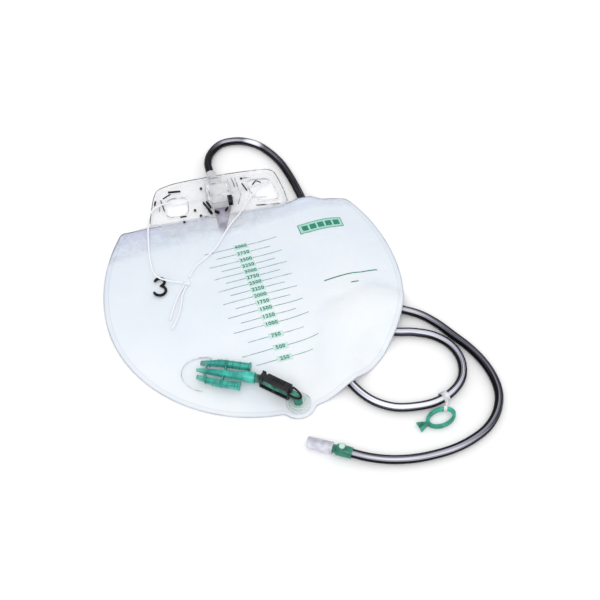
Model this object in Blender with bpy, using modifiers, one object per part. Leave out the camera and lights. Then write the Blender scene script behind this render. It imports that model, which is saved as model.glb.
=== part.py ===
# Urine drainage bag lying flat: two welded films, a moulded hanger with a drip chamber,
# a pinch-clamped outlet, and a long drainage tube with its port, connector and sheet clip.
# Units are metres. X runs across the bag, +Y points to the hanger, +Z is up from the table.
import math

import bmesh
import bpy
from mathutils import Matrix, Vector

MM = 0.001

# Driving sizes of the films
BAG_RADIUS = 169.5 * MM
BAG_CENTRE_Y = -3.7 * MM
HEADER_TURN = math.radians(-5.5)
HEADER_EDGE = 119.5 * MM
FLANK_SWELL = 0.06
FLANK_ANGLE = math.radians(40)
CORNER_SOFTNESS_LEFT = 3.0 * MM
CORNER_SOFTNESS_RIGHT = 14.0 * MM
FILM_THICKNESS = 0.4 * MM
WELD_WIDTH = 5.0 * MM
BAG_FULLNESS = 9.0 * MM
FILM_SECTORS = 76
CLEARANCE = 0.3 * MM

# Driving sizes of the drainage tube and what is on it
TUBE_RADIUS = 4.75 * MM
TUBE_SIDES = 3
CROSSING_SPAN = 60.0 * MM
PORT_LENGTH = 15.5 * MM
PORT_RADIUS = 6.2 * MM
CAP_LENGTH = 27.0 * MM
CAP_RADIUS = 6.6 * MM
CAP_WALL = 0.9 * MM
CLIP_HEIGHT = 3.6 * MM
CLIP_BAR = 2.8 * MM
BAND_WALL = 0.9 * MM
BAND_WIDTH = 7.0 * MM

# Driving sizes of the hanger and the drip chamber
PLATE_THICKNESS = 2.2 * MM
PLATE_BASE = 2.6 * MM
PLATE_RIM_WIDTH = 2.2 * MM
PLATE_RIM_FOOT = 0.3 * MM
RIB_HEIGHT = 1.6 * MM
TONGUE_EDGE = 98.0 * MM
CHAMBER_WIDTH = 36.0 * MM
CHAMBER_LENGTH = 36.0 * MM
CHAMBER_DEPTH = 13.5 * MM
CHAMBER_WALL = 1.3 * MM
NECK_RADIUS = 4.4 * MM
SLEEVE_WALL = 1.1 * MM
FUNNEL_LENGTH = 56.0 * MM
FUNNEL_MOUTH = 26.0 * MM
FUNNEL_TIP = 5.0 * MM

# Driving sizes of the outlet
BOSS_X = 0.0
BOSS_Y = BAG_CENTRE_Y - BAG_RADIUS + 9.2 * MM
BOSS_RADIUS = 13.5 * MM
BOSS_THICKNESS = 1.4 * MM
LOBE_RADIUS = 19.0 * MM
OUTLET_RADIUS = 5.0 * MM
CLAMP_LENGTH = 36.0 * MM
CLAMP_WIDTH = 11.0 * MM
CLAMP_BAR = 1.8 * MM
CLAMP_PIN = 1.0 * MM
NOZZLE_LENGTH = 66.0 * MM
NOZZLE_RADIUS = 4.9 * MM
WING_SPREAD = 13.5 * MM
WING_SIZE = 3.6 * MM
NOZZLE_SHANK = 14.0 * MM
NOZZLE_SOCKET = 6.6 * MM

# Driving sizes of the hanging cord
CORD_RADIUS = 1.0 * MM
HOOK_WIRE = 1.3 * MM

HEADER = Matrix.Translation((0, BAG_CENTRE_Y, 0)) @ Matrix.Rotation(HEADER_TURN, 4, "Z")


def clear_scene():
    for item in list(bpy.data.objects):
        bpy.data.objects.remove(item, do_unlink=True)


def make_collection(name):
    collection = bpy.data.collections.new(name)
    bpy.context.scene.collection.children.link(collection)
    return collection


clear_scene()
PARTS = make_collection("urine_drainage_bag")
CUTTERS = make_collection("cutters")


def make_material(name, colour, roughness, metallic=0.0, alpha=1.0):
    material = bpy.data.materials.new(name)
    material.use_nodes = True
    shader = material.node_tree.nodes["Principled BSDF"]
    shader.inputs["Base Color"].default_value = (*colour, 1.0)
    shader.inputs["Roughness"].default_value = roughness
    shader.inputs["Metallic"].default_value = metallic
    shader.inputs["Alpha"].default_value = alpha
    return material


def place(name, data, material, matrix=None):
    """Make a named sub-part from a mesh or curve."""
    item = bpy.data.objects.new(name, data)
    PARTS.objects.link(item)
    if matrix is not None:
        item.matrix_world = matrix
    data.materials.append(material)
    return item


def cutter(name, data, matrix=None):
    item = bpy.data.objects.new(name, data)
    CUTTERS.objects.link(item)
    if matrix is not None:
        item.matrix_world = matrix
    item.hide_render = True
    item.display_type = "WIRE"
    return item


def combine(item, other, operation):
    """Add a live Boolean between two sub-part meshes."""
    change = item.modifiers.new(operation.lower(), "BOOLEAN")
    change.object = other
    change.operation = operation
    change.solver = "EXACT"
    return change


def as_mesh(item):
    """Evaluate an object's curve or modifiers into a plain welded mesh."""
    bpy.context.view_layer.update()
    graph = bpy.context.evaluated_depsgraph_get()
    mesh = bpy.data.meshes.new_from_object(item.evaluated_get(graph))
    work = bmesh.new()
    work.from_mesh(mesh)
    bmesh.ops.remove_doubles(work, verts=work.verts, dist=0.00001)
    work.to_mesh(mesh)
    work.free()
    return mesh


def box_mesh(name, low, high, bevel=0.0, segments=1):
    """A box between two corners, with rounded edges where a bevel is given."""
    work = bmesh.new()
    bmesh.ops.create_cube(work, size=1.0)
    size = Vector(high) - Vector(low)
    middle = (Vector(high) + Vector(low)) / 2
    bmesh.ops.scale(work, vec=size, verts=work.verts)
    bmesh.ops.translate(work, vec=middle, verts=work.verts)
    if bevel > 0:
        bmesh.ops.bevel(work, geom=work.edges[:], offset=bevel, segments=segments,
                        affect="EDGES", profile=0.5)
    mesh = bpy.data.meshes.new(name)
    work.to_mesh(mesh)
    work.free()
    return mesh


def rod_mesh(name, radius, start, end, sides=24, end_radius=None):
    """A closed cylinder or cone between two points."""
    axis = Vector(end) - Vector(start)
    turn = Vector((0, 0, 1)).rotation_difference(axis.normalized()).to_matrix().to_4x4()
    tip = radius if end_radius is None else end_radius
    work = bmesh.new()
    bmesh.ops.create_cone(work, cap_ends=True, segments=sides, radius1=radius, radius2=tip,
                          depth=axis.length,
                          matrix=Matrix.Translation((Vector(start) + Vector(end)) / 2) @ turn)
    mesh = bpy.data.meshes.new(name)
    work.to_mesh(mesh)
    work.free()
    return mesh


def turned_mesh(name, profile, steps=32):
    """Turn a profile of (radius, height) points, top to bottom down its outside, about Z."""
    mesh = bpy.data.meshes.new(name + "_profile")
    points = [(radius, 0, height) for radius, height in profile]
    edges = [(i, i + 1) for i in range(len(points) - 1)]
    if profile[0] != profile[-1] and profile[0][0] > 0:
        edges.append((len(points) - 1, 0))
    mesh.from_pydata(points, edges, [])
    item = bpy.data.objects.new(name + "_profile", mesh)
    PARTS.objects.link(item)
    screw = item.modifiers.new("turn", "SCREW")
    screw.steps = steps
    screw.render_steps = steps
    screw.use_merge_vertices = True
    screw.merge_threshold = 0.00001
    turned = as_mesh(item)
    bpy.data.objects.remove(item, do_unlink=True)
    return turned


def outline_mesh(name, points, thickness, holes=()):
    """Fill a flat closed outline, less its holes, to a slab centred on its own plane."""
    curve = bpy.data.curves.new(name + "_outline", "CURVE")
    curve.dimensions = "2D"
    curve.fill_mode = "BOTH"
    curve.extrude = thickness / 2
    for ring in (points, *holes):
        spline = curve.splines.new("POLY")
        spline.points.add(len(ring) - 1)
        for point, (x, y) in zip(spline.points, ring):
            point.co = (x, y, 0, 1)
        spline.use_cyclic_u = True
    item = bpy.data.objects.new(name + "_outline", curve)
    PARTS.objects.link(item)
    mesh = as_mesh(item)
    bpy.data.objects.remove(item, do_unlink=True)
    return mesh


def rounded(points, radius, steps=2):
    """Round the corners of a closed outline with arcs of about one radius."""
    ring = []
    count = len(points)
    for index, corner in enumerate(points):
        here = Vector(corner)
        before = Vector(points[index - 1]) - here
        after = Vector(points[(index + 1) % count]) - here
        reach = min(radius, before.length * 0.45, after.length * 0.45)
        start = here + before.normalized() * reach
        end = here + after.normalized() * reach
        for step in range(steps + 1):
            t = step / steps
            ring.append(start * (1 - t) ** 2 + here * 2 * t * (1 - t) + end * t ** 2)
    return [(point.x, point.y) for point in ring]


def smooth_path(points, spacing, closed_start=None):
    """Read evenly spaced points from a smooth curve through hand-chosen route points."""
    route = [Vector(point) for point in points]
    lead = closed_start if closed_start is not None else route[0] * 2 - route[1]
    ends = [Vector(lead)] + route + [route[-1] * 2 - route[-2]]
    fine = []
    for i in range(1, len(ends) - 2):
        p0, p1, p2, p3 = ends[i - 1:i + 3]
        for step in range(24):
            t = step / 24
            fine.append(0.5 * (2 * p1 + (p2 - p0) * t + (2 * p0 - 5 * p1 + 4 * p2 - p3) * t * t
                               + (3 * p1 - p0 - 3 * p2 + p3) * t ** 3))
    fine.append(route[-1])
    length = sum((b - a).length for a, b in zip(fine, fine[1:]))
    count = max(2, round(length / spacing))
    even = [fine[0]]
    walked = 0.0
    target = length / count
    for a, b in zip(fine, fine[1:]):
        stretch = (b - a).length
        while walked + stretch >= target * len(even) and len(even) < count:
            even.append(a.lerp(b, (target * len(even) - walked) / stretch))
        walked += stretch
    even.append(fine[-1])
    return even


def cord_curve(name, points, radius, sides):
    curve = bpy.data.curves.new(name, "CURVE")
    curve.dimensions = "3D"
    curve.bevel_depth = radius
    curve.bevel_resolution = sides
    curve.use_fill_caps = True
    spline = curve.splines.new("POLY")
    spline.points.add(len(points) - 1)
    for target, point in zip(spline.points, points):
        target.co = (*point, 1)
    return curve


def round_shade(item, angle=40):
    if item.type == "MESH":
        item.data.shade_smooth()
        item.data.set_sharp_from_angle(angle=math.radians(angle))


def header_xy(u, v):
    """A point of the turned header, u across and v up from the bag's centre, in world X and Y."""
    point = HEADER @ Vector((u, v, 0))
    return point.x, point.y


# Route of the drainage tube, in world millimetres from the sleeve to the sampling port
FLOOR_RUN = TUBE_RADIUS + 0.1 * MM
ROUTE_ARC = [(3.0, 198.5), (7.8, 209.5), (16.7, 223.5), (30.8, 231.8), (47.5, 231.0),
             (64.6, 222.5), (78.7, 205.0), (89.6, 177.5), (94.4, 143.6), (96.0, 108.0)]
ROUTE_UNDER_FIRST = [(96.5, 68.0), (97.0, 28.0), (98.5, -12.0), (101.5, -48.0), (106.0, -78.8),
                     (116.0, -100.0)]
ROUTE_SMALL_LOOP = [(132.9, -112.1), (150.7, -118.0), (168.9, -129.5), (180.4, -145.3),
                    (184.6, -162.4), (180.3, -181.6), (170.8, -196.2), (155.5, -205.8),
                    (138.5, -210.8), (119.7, -209.8), (103.8, -207.1), (89.7, -199.8),
                    (74.4, -186.8), (65.5, -172.0), (60.2, -157.0)]
ROUTE_UNDER_SECOND = [(56.9, -140.0), (58.3, -121.7), (66.8, -103.3), (81.5, -88.5),
                      (101.5, -79.6), (121.5, -77.4)]
ROUTE_BIG_LOOP = [(147.8, -85.4), (161.2, -93.6), (173.6, -107.0), (184.3, -126.6),
                  (193.9, -145.4), (202.4, -165.0), (207.3, -187.7), (207.4, -211.0),
                  (200.6, -231.4), (185.4, -250.0), (165.7, -261.4), (140.4, -268.1),
                  (117.7, -269.3), (96.5, -267.8), (76.3, -263.9), (59.0, -257.0)]
CROSSING = (101.5 * MM, -79.6 * MM)
BAND_AT = (144.0 * MM, -209.6 * MM)
LINE_HEADING = math.radians(145.0)
LINE_AXIS = Vector((math.cos(LINE_HEADING), math.sin(LINE_HEADING), 0))
LINE_HEIGHT = CAP_RADIUS + 0.1 * MM
LINE_START = Vector((28.0 * MM, -239.3 * MM, LINE_HEIGHT))
NECK_U = -16.0 * MM
NECK_TOP = 178.0 * MM
NECK_HEIGHT = PLATE_BASE + PLATE_THICKNESS + CLEARANCE + NECK_RADIUS + CHAMBER_WALL
TUBE_START = Vector((*header_xy(NECK_U, NECK_TOP + CLEARANCE), NECK_HEIGHT))


def ease(t):
    t = min(1.0, max(0.0, t))
    return t * t * (3 - 2 * t)


def tube_height(x, y, over=False):
    """Height of the tube's middle above the table along its free route."""
    lift = 0.0
    if over:
        away = math.hypot(x - CROSSING[0], y - CROSSING[1])
        lift = (2 * TUBE_RADIUS + 2 * CLEARANCE) * ease(1.25 - away / CROSSING_SPAN * 1.25)
    band = math.hypot(x - BAND_AT[0], y - BAND_AT[1])
    held = (BAND_WALL + 2 * CLEARANCE) * ease(2 - band / (20 * MM))
    return FLOOR_RUN + max(lift, held)


def tube_route():
    points = [TUBE_START, Vector((*header_xy(NECK_U + 0.5 * MM, NECK_TOP + 9 * MM), NECK_HEIGHT))]
    drop = NECK_HEIGHT - FLOOR_RUN
    for step, (x, y) in enumerate(ROUTE_ARC):
        points.append(Vector((x * MM, y * MM, FLOOR_RUN + drop * ease(0.75 - step * 0.25))))
    for x, y in ROUTE_UNDER_FIRST + ROUTE_SMALL_LOOP:
        points.append(Vector((x * MM, y * MM, tube_height(x * MM, y * MM))))
    for x, y in ROUTE_UNDER_SECOND + ROUTE_BIG_LOOP[:2]:
        points.append(Vector((x * MM, y * MM, tube_height(x * MM, y * MM, True))))
    for x, y in ROUTE_BIG_LOOP[2:]:
        points.append(Vector((x * MM, y * MM, FLOOR_RUN)))
    points.append(LINE_START - LINE_AXIS * 20 * MM)
    points.append(LINE_START - LINE_AXIS * 10 * MM)
    points.append(LINE_START)
    return points


TUBE_POINTS = smooth_path(tube_route(), 2.4 * 2 * TUBE_RADIUS)
TUBE_END = TUBE_POINTS[-1]
UNDER_BAG = [point for point in smooth_path(tube_route(), 5 * MM)
             if math.hypot(point.x, point.y - BAG_CENTRE_Y) < BAG_RADIUS + 12 * MM
             and point.y < 140 * MM]


def smooth_less(a, b, softness):
    """Smaller of two values, with a rounded change-over."""
    blend = max(softness - abs(a - b), 0.0) / softness
    return min(a, b) - blend * blend * softness / 4


def outline_radius(angle):
    """Distance from the bag's centre to the film's edge, by angle in the header's frame."""
    side = math.cos(angle)
    rise = max(0.0, math.asin(min(1.0, max(-1.0, math.sin(angle)))))
    reach = BAG_RADIUS * (1 + FLANK_SWELL * (min(rise, FLANK_ANGLE) / FLANK_ANGLE) ** 2)
    if math.sin(angle) > 0.1:
        softness = CORNER_SOFTNESS_LEFT if side < 0 else CORNER_SOFTNESS_RIGHT
        reach = smooth_less(reach, HEADER_EDGE / math.sin(angle), softness)
    boss = Vector((BOSS_X, BOSS_Y - BAG_CENTRE_Y))
    world = angle + HEADER_TURN
    off = boss.length * math.sin(world - math.atan2(boss.y, boss.x))
    ahead = boss.length * math.cos(world - math.atan2(boss.y, boss.x))
    if ahead > 0 and abs(off) < LOBE_RADIUS:
        lobe = ahead + math.sqrt(LOBE_RADIUS ** 2 - off ** 2)
        reach = -smooth_less(-reach, -lobe, 3 * MM)
    return reach


def seal_ratio(x, y):
    """0 at the bag's centre, 1 at the inner edge of the weld."""
    away = math.hypot(x, y - BAG_CENTRE_Y)
    angle = math.atan2(y - BAG_CENTRE_Y, x) - HEADER_TURN
    return away / (outline_radius(angle) - WELD_WIDTH)


def tube_lift(x, y):
    """How high the tube underneath holds the back film."""
    lift = 0.0
    for point in UNDER_BAG:
        away = math.hypot(x - point.x, y - point.y)
        top = point.z + TUBE_RADIUS + 0.8 * MM
        flat = TUBE_RADIUS + 4 * MM
        slope = 19 * MM * top / (10 * MM)
        if away < flat + slope:
            lift = max(lift, top * (0.5 + 0.5 * math.cos(math.pi * max(0.0, away - flat) / slope)))
    return lift


def header_share(x, y):
    """1 where the hanger's tongue lies between the films, falling to 0 round it."""
    point = HEADER.inverted() @ Vector((x, y, 0))
    across = min(ease((point.x + 114 * MM) / (14 * MM)), ease((64 * MM - point.x) / (12 * MM)))
    return across * ease((point.y - 72 * MM) / (14 * MM))


def back_height(x, y):
    """Underside of the back film."""
    header = (PLATE_BASE - CLEARANCE - FILM_THICKNESS) * header_share(x, y)
    return max(tube_lift(x, y), header)


def front_height(x, y):
    """Underside of the front film."""
    closed = back_height(x, y) + FILM_THICKNESS + CLEARANCE
    ratio = min(1.0, seal_ratio(x, y))
    boss = ease((math.hypot(x - BOSS_X, y - BOSS_Y) - BOSS_RADIUS - 3 * MM) / (22 * MM))
    dome = BAG_FULLNESS * (1 - ratio ** 2) ** 0.75 * boss
    tongue = closed + (PLATE_THICKNESS + CLEARANCE) * header_share(x, y)
    return max(closed + min(dome, 1.5 * MM), dome, tongue)


def front_top(x, y):
    """Upper side of the front film, which the print and the outlet lie on."""
    return front_height(x, y) + FILM_THICKNESS


def film_mesh(name, height):
    """Spin a radial line to a disc, spread it to the bag's outline and lift it to its height."""
    shares = (0.0, 0.2, 0.37, 0.48, 0.57, 0.66, 0.75, 0.84, 0.92, 1.0)
    work = bmesh.new()
    line = [work.verts.new((share, 0, 0)) for share in shares]
    line.append(work.verts.new((2.0, 0, 0)))
    edges = [work.edges.new(pair) for pair in zip(line, line[1:])]
    bmesh.ops.spin(work, geom=line + edges, axis=(0, 0, 1), cent=(0, 0, 0),
                   angle=2 * math.pi, steps=FILM_SECTORS)
    bmesh.ops.remove_doubles(work, verts=work.verts, dist=0.0005)
    for vertex in work.verts:
        share = math.hypot(vertex.co.x, vertex.co.y)
        turn = math.atan2(vertex.co.y, vertex.co.x)
        angle = turn - 0.35 * math.sin(turn)
        seal = outline_radius(angle) - WELD_WIDTH
        reach = seal * share if share <= 1.0001 else seal + WELD_WIDTH
        x = reach * math.cos(angle + HEADER_TURN)
        y = reach * math.sin(angle + HEADER_TURN) + BAG_CENTRE_Y
        vertex.co = (x, y, height(x, y))
    sheet = bmesh.ops.extrude_face_region(work, geom=work.faces[:])
    raised = [item for item in sheet["geom"] if isinstance(item, bmesh.types.BMVert)]
    bmesh.ops.translate(work, vec=(0, 0, FILM_THICKNESS), verts=raised)
    bmesh.ops.recalc_face_normals(work, faces=work.faces)
    mesh = bpy.data.meshes.new(name)
    work.to_mesh(mesh)
    work.free()
    return mesh


# Materials
CLEAR_FILM = make_material("clear_vinyl_film", (0.80, 0.85, 0.92), 0.25, alpha=0.6)
WHITE_FILM = make_material("white_vinyl_film", (0.86, 0.90, 0.96), 0.4)
CLEAR_RIGID = make_material("clear_styrene", (0.85, 0.88, 0.92), 0.12, alpha=0.5)
CLEAR_TUBE = make_material("clear_vinyl_tube", (0.10, 0.10, 0.12), 0.15)
LILAC_SOFT = make_material("soft_vinyl_funnel", (0.55, 0.52, 0.62), 0.4, alpha=0.7)
TEAL = make_material("teal_polypropylene", (0.05, 0.46, 0.38), 0.35)
GREEN = make_material("green_vinyl", (0.03, 0.33, 0.22), 0.35)
BLACK = make_material("black_acetal", (0.015, 0.015, 0.017), 0.4)
WHITE_CORD = make_material("white_braided_cord", (0.85, 0.86, 0.88), 0.8)
PALE_RUBBER = make_material("pale_septum_rubber", (0.62, 0.78, 0.66), 0.6)
INK = make_material("green_print", (0.05, 0.33, 0.25), 0.5)


# Films, welded to each other round the edge
def make_films():
    back = place("back_film", film_mesh("back_film", back_height), WHITE_FILM)
    front = place("front_film", film_mesh("front_film", front_height), CLEAR_FILM)
    drain = rod_mesh("drain_hole", OUTLET_RADIUS * 0.7, (BOSS_X, BOSS_Y, -5 * MM),
                     (BOSS_X, BOSS_Y, 30 * MM), 16)
    drain_cutter = cutter("drain_hole_cutter", drain)
    lift = front_height(BOSS_X, BOSS_Y) - CLEARANCE / 2
    for vertex in drain.vertices:
        vertex.co.z = max(vertex.co.z, lift)
    combine(front, drain_cutter, "DIFFERENCE")
    round_shade(back, 60)
    round_shade(front, 60)


# Print: the pale band behind the numerals, with a volume line every 250 ml out of both its sides
SCALE_STEPS = (59.7, 38.2, 19.7, 1.2, -17.8, -37.8, -59.3, -91.8)
SCALE_LAST = -107.0
SCALE_MIDDLE_X = 3.5 * MM
SCALE_LONG = 43.5 * MM
SCALE_SHORT = 32.0 * MM
SCALE_LINE = 0.8 * MM
SCALE_BAND = 7.5 * MM
INK_THICKNESS = 0.15 * MM


def print_point(work, x, y):
    """A corner of the print, laid on the film."""
    x += SCALE_MIDDLE_X
    film = max(front_top(x + dx, y) for dx in (-3 * MM, 0, 3 * MM))
    return work.verts.new((x, y, film + 1.5 * CLEARANCE))


def print_row(work, y, reach, above):
    """One pair of volume lines with its stretch of the band, joined to the row above."""
    ring = []
    for side in (-1, 1):
        pair = [print_point(work, side * SCALE_BAND, y + dy * SCALE_LINE) for dy in (0.5, -0.5)]
        ring.append(pair)
        for step in (0.5, 1.0):
            x = side * (SCALE_BAND + (reach - SCALE_BAND) * step)
            end = [print_point(work, x, y + dy * SCALE_LINE) for dy in (0.5, -0.5)]
            corners = (pair[0], pair[1], end[1], end[0])
            work.faces.new(corners if side > 0 else corners[::-1])
            pair = end
    left, right = ring
    work.faces.new((left[0], left[1], right[1], right[0]))
    if above is not None:
        work.faces.new((above[0], left[0], right[0], above[1]))
    return left[1], right[1]


def make_scale():
    work = bmesh.new()
    above = None
    for y, below in zip(SCALE_STEPS, (*SCALE_STEPS[1:], 2 * SCALE_LAST - SCALE_STEPS[-1])):
        above = print_row(work, y * MM, SCALE_LONG, above)
        above = print_row(work, (y + below) / 2 * MM, SCALE_SHORT, above)
    sheet = bmesh.ops.extrude_face_region(work, geom=work.faces[:])
    raised = [item for item in sheet["geom"] if isinstance(item, bmesh.types.BMVert)]
    bmesh.ops.translate(work, vec=(0, 0, INK_THICKNESS), verts=raised)
    bmesh.ops.recalc_face_normals(work, faces=work.faces)
    mesh = bpy.data.meshes.new("volume_scale")
    work.to_mesh(mesh)
    work.free()
    place("volume_scale", mesh, INK)


# Hanger: a clear moulding with a tongue between the films and two openings for a bed rail
PLATE_OUTLINE = [(-88, TONGUE_EDGE / MM + 6), (-80, TONGUE_EDGE / MM), (38, TONGUE_EDGE / MM),
                 (44, TONGUE_EDGE / MM + 6), (44, 122), (66.6, 122), (65.5, 145), (61, 174),
                 (52.6, 180.7), (7.8, 183.1), (-62, 181.5), (-84.4, 174.8), (-91, 160),
                 (-101.5, 128), (-99, 122), (-88, 122)]
LEFT_OPENING = [(-78.5, 128), (-52.5, 128), (-50, 156.5), (-71, 158), (-80.5, 150)]
RIGHT_OPENING = [(34.5, 131.5), (56, 130), (58.2, 137), (54.5, 160), (49, 166), (23, 168),
                 (26, 148)]
SLOT_OPENING = [(-32, 117.5), (-22, 117.5), (-22, 119.5), (-32, 119.5)]
PLATE_HOLES = [(-31.3, 166.5), (-44.5, 133.0), (-39.0, 122.8), (-60.0, 117.0)]
FUNNEL_TOP = 146.0 * MM
FUNNEL_TOP_U = -8.0 * MM
FUNNEL_TIP_U = -19.0 * MM


def millimetre_ring(points):
    return [(x * MM, y * MM) for x, y in points]


def circle_ring(x, y, radius, count=10):
    return [(x + radius * math.cos(2 * math.pi * k / count),
             y + radius * math.sin(2 * math.pi * k / count)) for k in range(count)]


def funnel_ring(grow, top, bottom):
    """Outline of the flat funnel, or of the notch round it when grown."""
    foot = FUNNEL_TOP - FUNNEL_LENGTH
    share = (bottom - foot) / FUNNEL_LENGTH
    middle = FUNNEL_TIP_U + (FUNNEL_TOP_U - FUNNEL_TIP_U) * share
    width = FUNNEL_TIP + (FUNNEL_MOUTH - FUNNEL_TIP) * share
    return [(FUNNEL_TOP_U - FUNNEL_MOUTH / 2 - grow, top), (middle - width / 2 - grow, bottom),
            (middle + width / 2 + grow, bottom), (FUNNEL_TOP_U + FUNNEL_MOUTH / 2 + grow, top)]


def make_hanger():
    holes = [rounded(millimetre_ring(LEFT_OPENING), 4 * MM),
             rounded(millimetre_ring(RIGHT_OPENING), 4 * MM),
             millimetre_ring(SLOT_OPENING)]
    holes += [circle_ring(x * MM, y * MM, 1.5 * MM) for x, y in PLATE_HOLES]
    outline = rounded(millimetre_ring(PLATE_OUTLINE), 9 * MM)
    slab = outline_mesh("hanger_plate", outline, PLATE_THICKNESS, holes)
    level = HEADER @ Matrix.Translation((0, 0, PLATE_BASE + PLATE_THICKNESS / 2))
    plate = place("hanger_plate", slab, CLEAR_RIGID, level)

    notch = funnel_ring(CLEARANCE + 0.1 * MM, FUNNEL_TOP + CLEARANCE, TONGUE_EDGE - 8 * MM)
    notch_slab = outline_mesh("notch", notch, 4 * PLATE_THICKNESS)
    combine(plate, cutter("funnel_notch_cutter", notch_slab, level), "DIFFERENCE")

    rim_top = PLATE_BASE + PLATE_THICKNESS + RIB_HEIGHT
    rim_height = rim_top - PLATE_RIM_FOOT
    inset = PLATE_RIM_WIDTH / MM
    rim_low = 123.5
    outer = [(-100.0, rim_low), (-91, 160), (-84.4, 174.8), (-62, 181.5), (7.8, 183.1),
             (52.6, 180.7), (61, 174), (65.5, 145), (66.4, rim_low)]
    inner = [(66.4 - inset, rim_low), (65.5 - inset, 145), (61 - inset, 174 - inset / 2),
             (52.6, 180.7 - inset), (7.8, 183.1 - inset), (-62, 181.5 - inset),
             (-84.4 + inset, 174.8 - inset), (-91 + inset, 160), (-100 + inset, rim_low)]
    rim_ring = millimetre_ring(outer + inner)
    rim = outline_mesh("rim", rim_ring, rim_height)
    rim_place = HEADER @ Matrix.Translation((0, 0, PLATE_RIM_FOOT + rim_height / 2))
    combine(plate, cutter("plate_rim_shape", rim, rim_place), "UNION")

    rib_place = HEADER @ Matrix.Translation(
        (0, 0, PLATE_BASE + PLATE_THICKNESS + RIB_HEIGHT / 2 - 0.2 * MM))
    for name, opening in (("left", LEFT_OPENING), ("right", RIGHT_OPENING)):
        ring = rounded(millimetre_ring(opening), 4 * MM)
        middle = Vector((sum(x for x, y in ring) / len(ring), sum(y for x, y in ring) / len(ring)))
        wide = []
        near = []
        for x, y in ring:
            out = (Vector((x, y)) - middle).normalized()
            wide.append((x + out.x * 3.4 * MM, y + out.y * 3.4 * MM))
            near.append((x + out.x * 1.6 * MM, y + out.y * 1.6 * MM))
        frame = outline_mesh(name + "_frame", wide, RIB_HEIGHT + 0.4 * MM, [near])
        combine(plate, cutter(name + "_frame_shape", frame, rib_place), "UNION")

    # The spigot that carries the tube is a tunnel through the plate's top rim
    tunnel_radius = NECK_RADIUS + SLEEVE_WALL + 1.6 * MM
    tunnel = rod_mesh("tunnel", tunnel_radius, (NECK_U, 160 * MM, NECK_HEIGHT),
                      (NECK_U, 200 * MM, NECK_HEIGHT), 24)
    combine(plate, cutter("tube_tunnel_cutter", tunnel, HEADER.copy()), "DIFFERENCE")
    round_shade(plate)
    return plate


# Drip chamber: a clear hollow box with a bored neck and an open throat over the funnel
CHAMBER_LOW_V = 136.0 * MM
CHAMBER_U = -5.0 * MM
CHAMBER_BASE = PLATE_BASE + PLATE_THICKNESS + CLEARANCE


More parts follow.
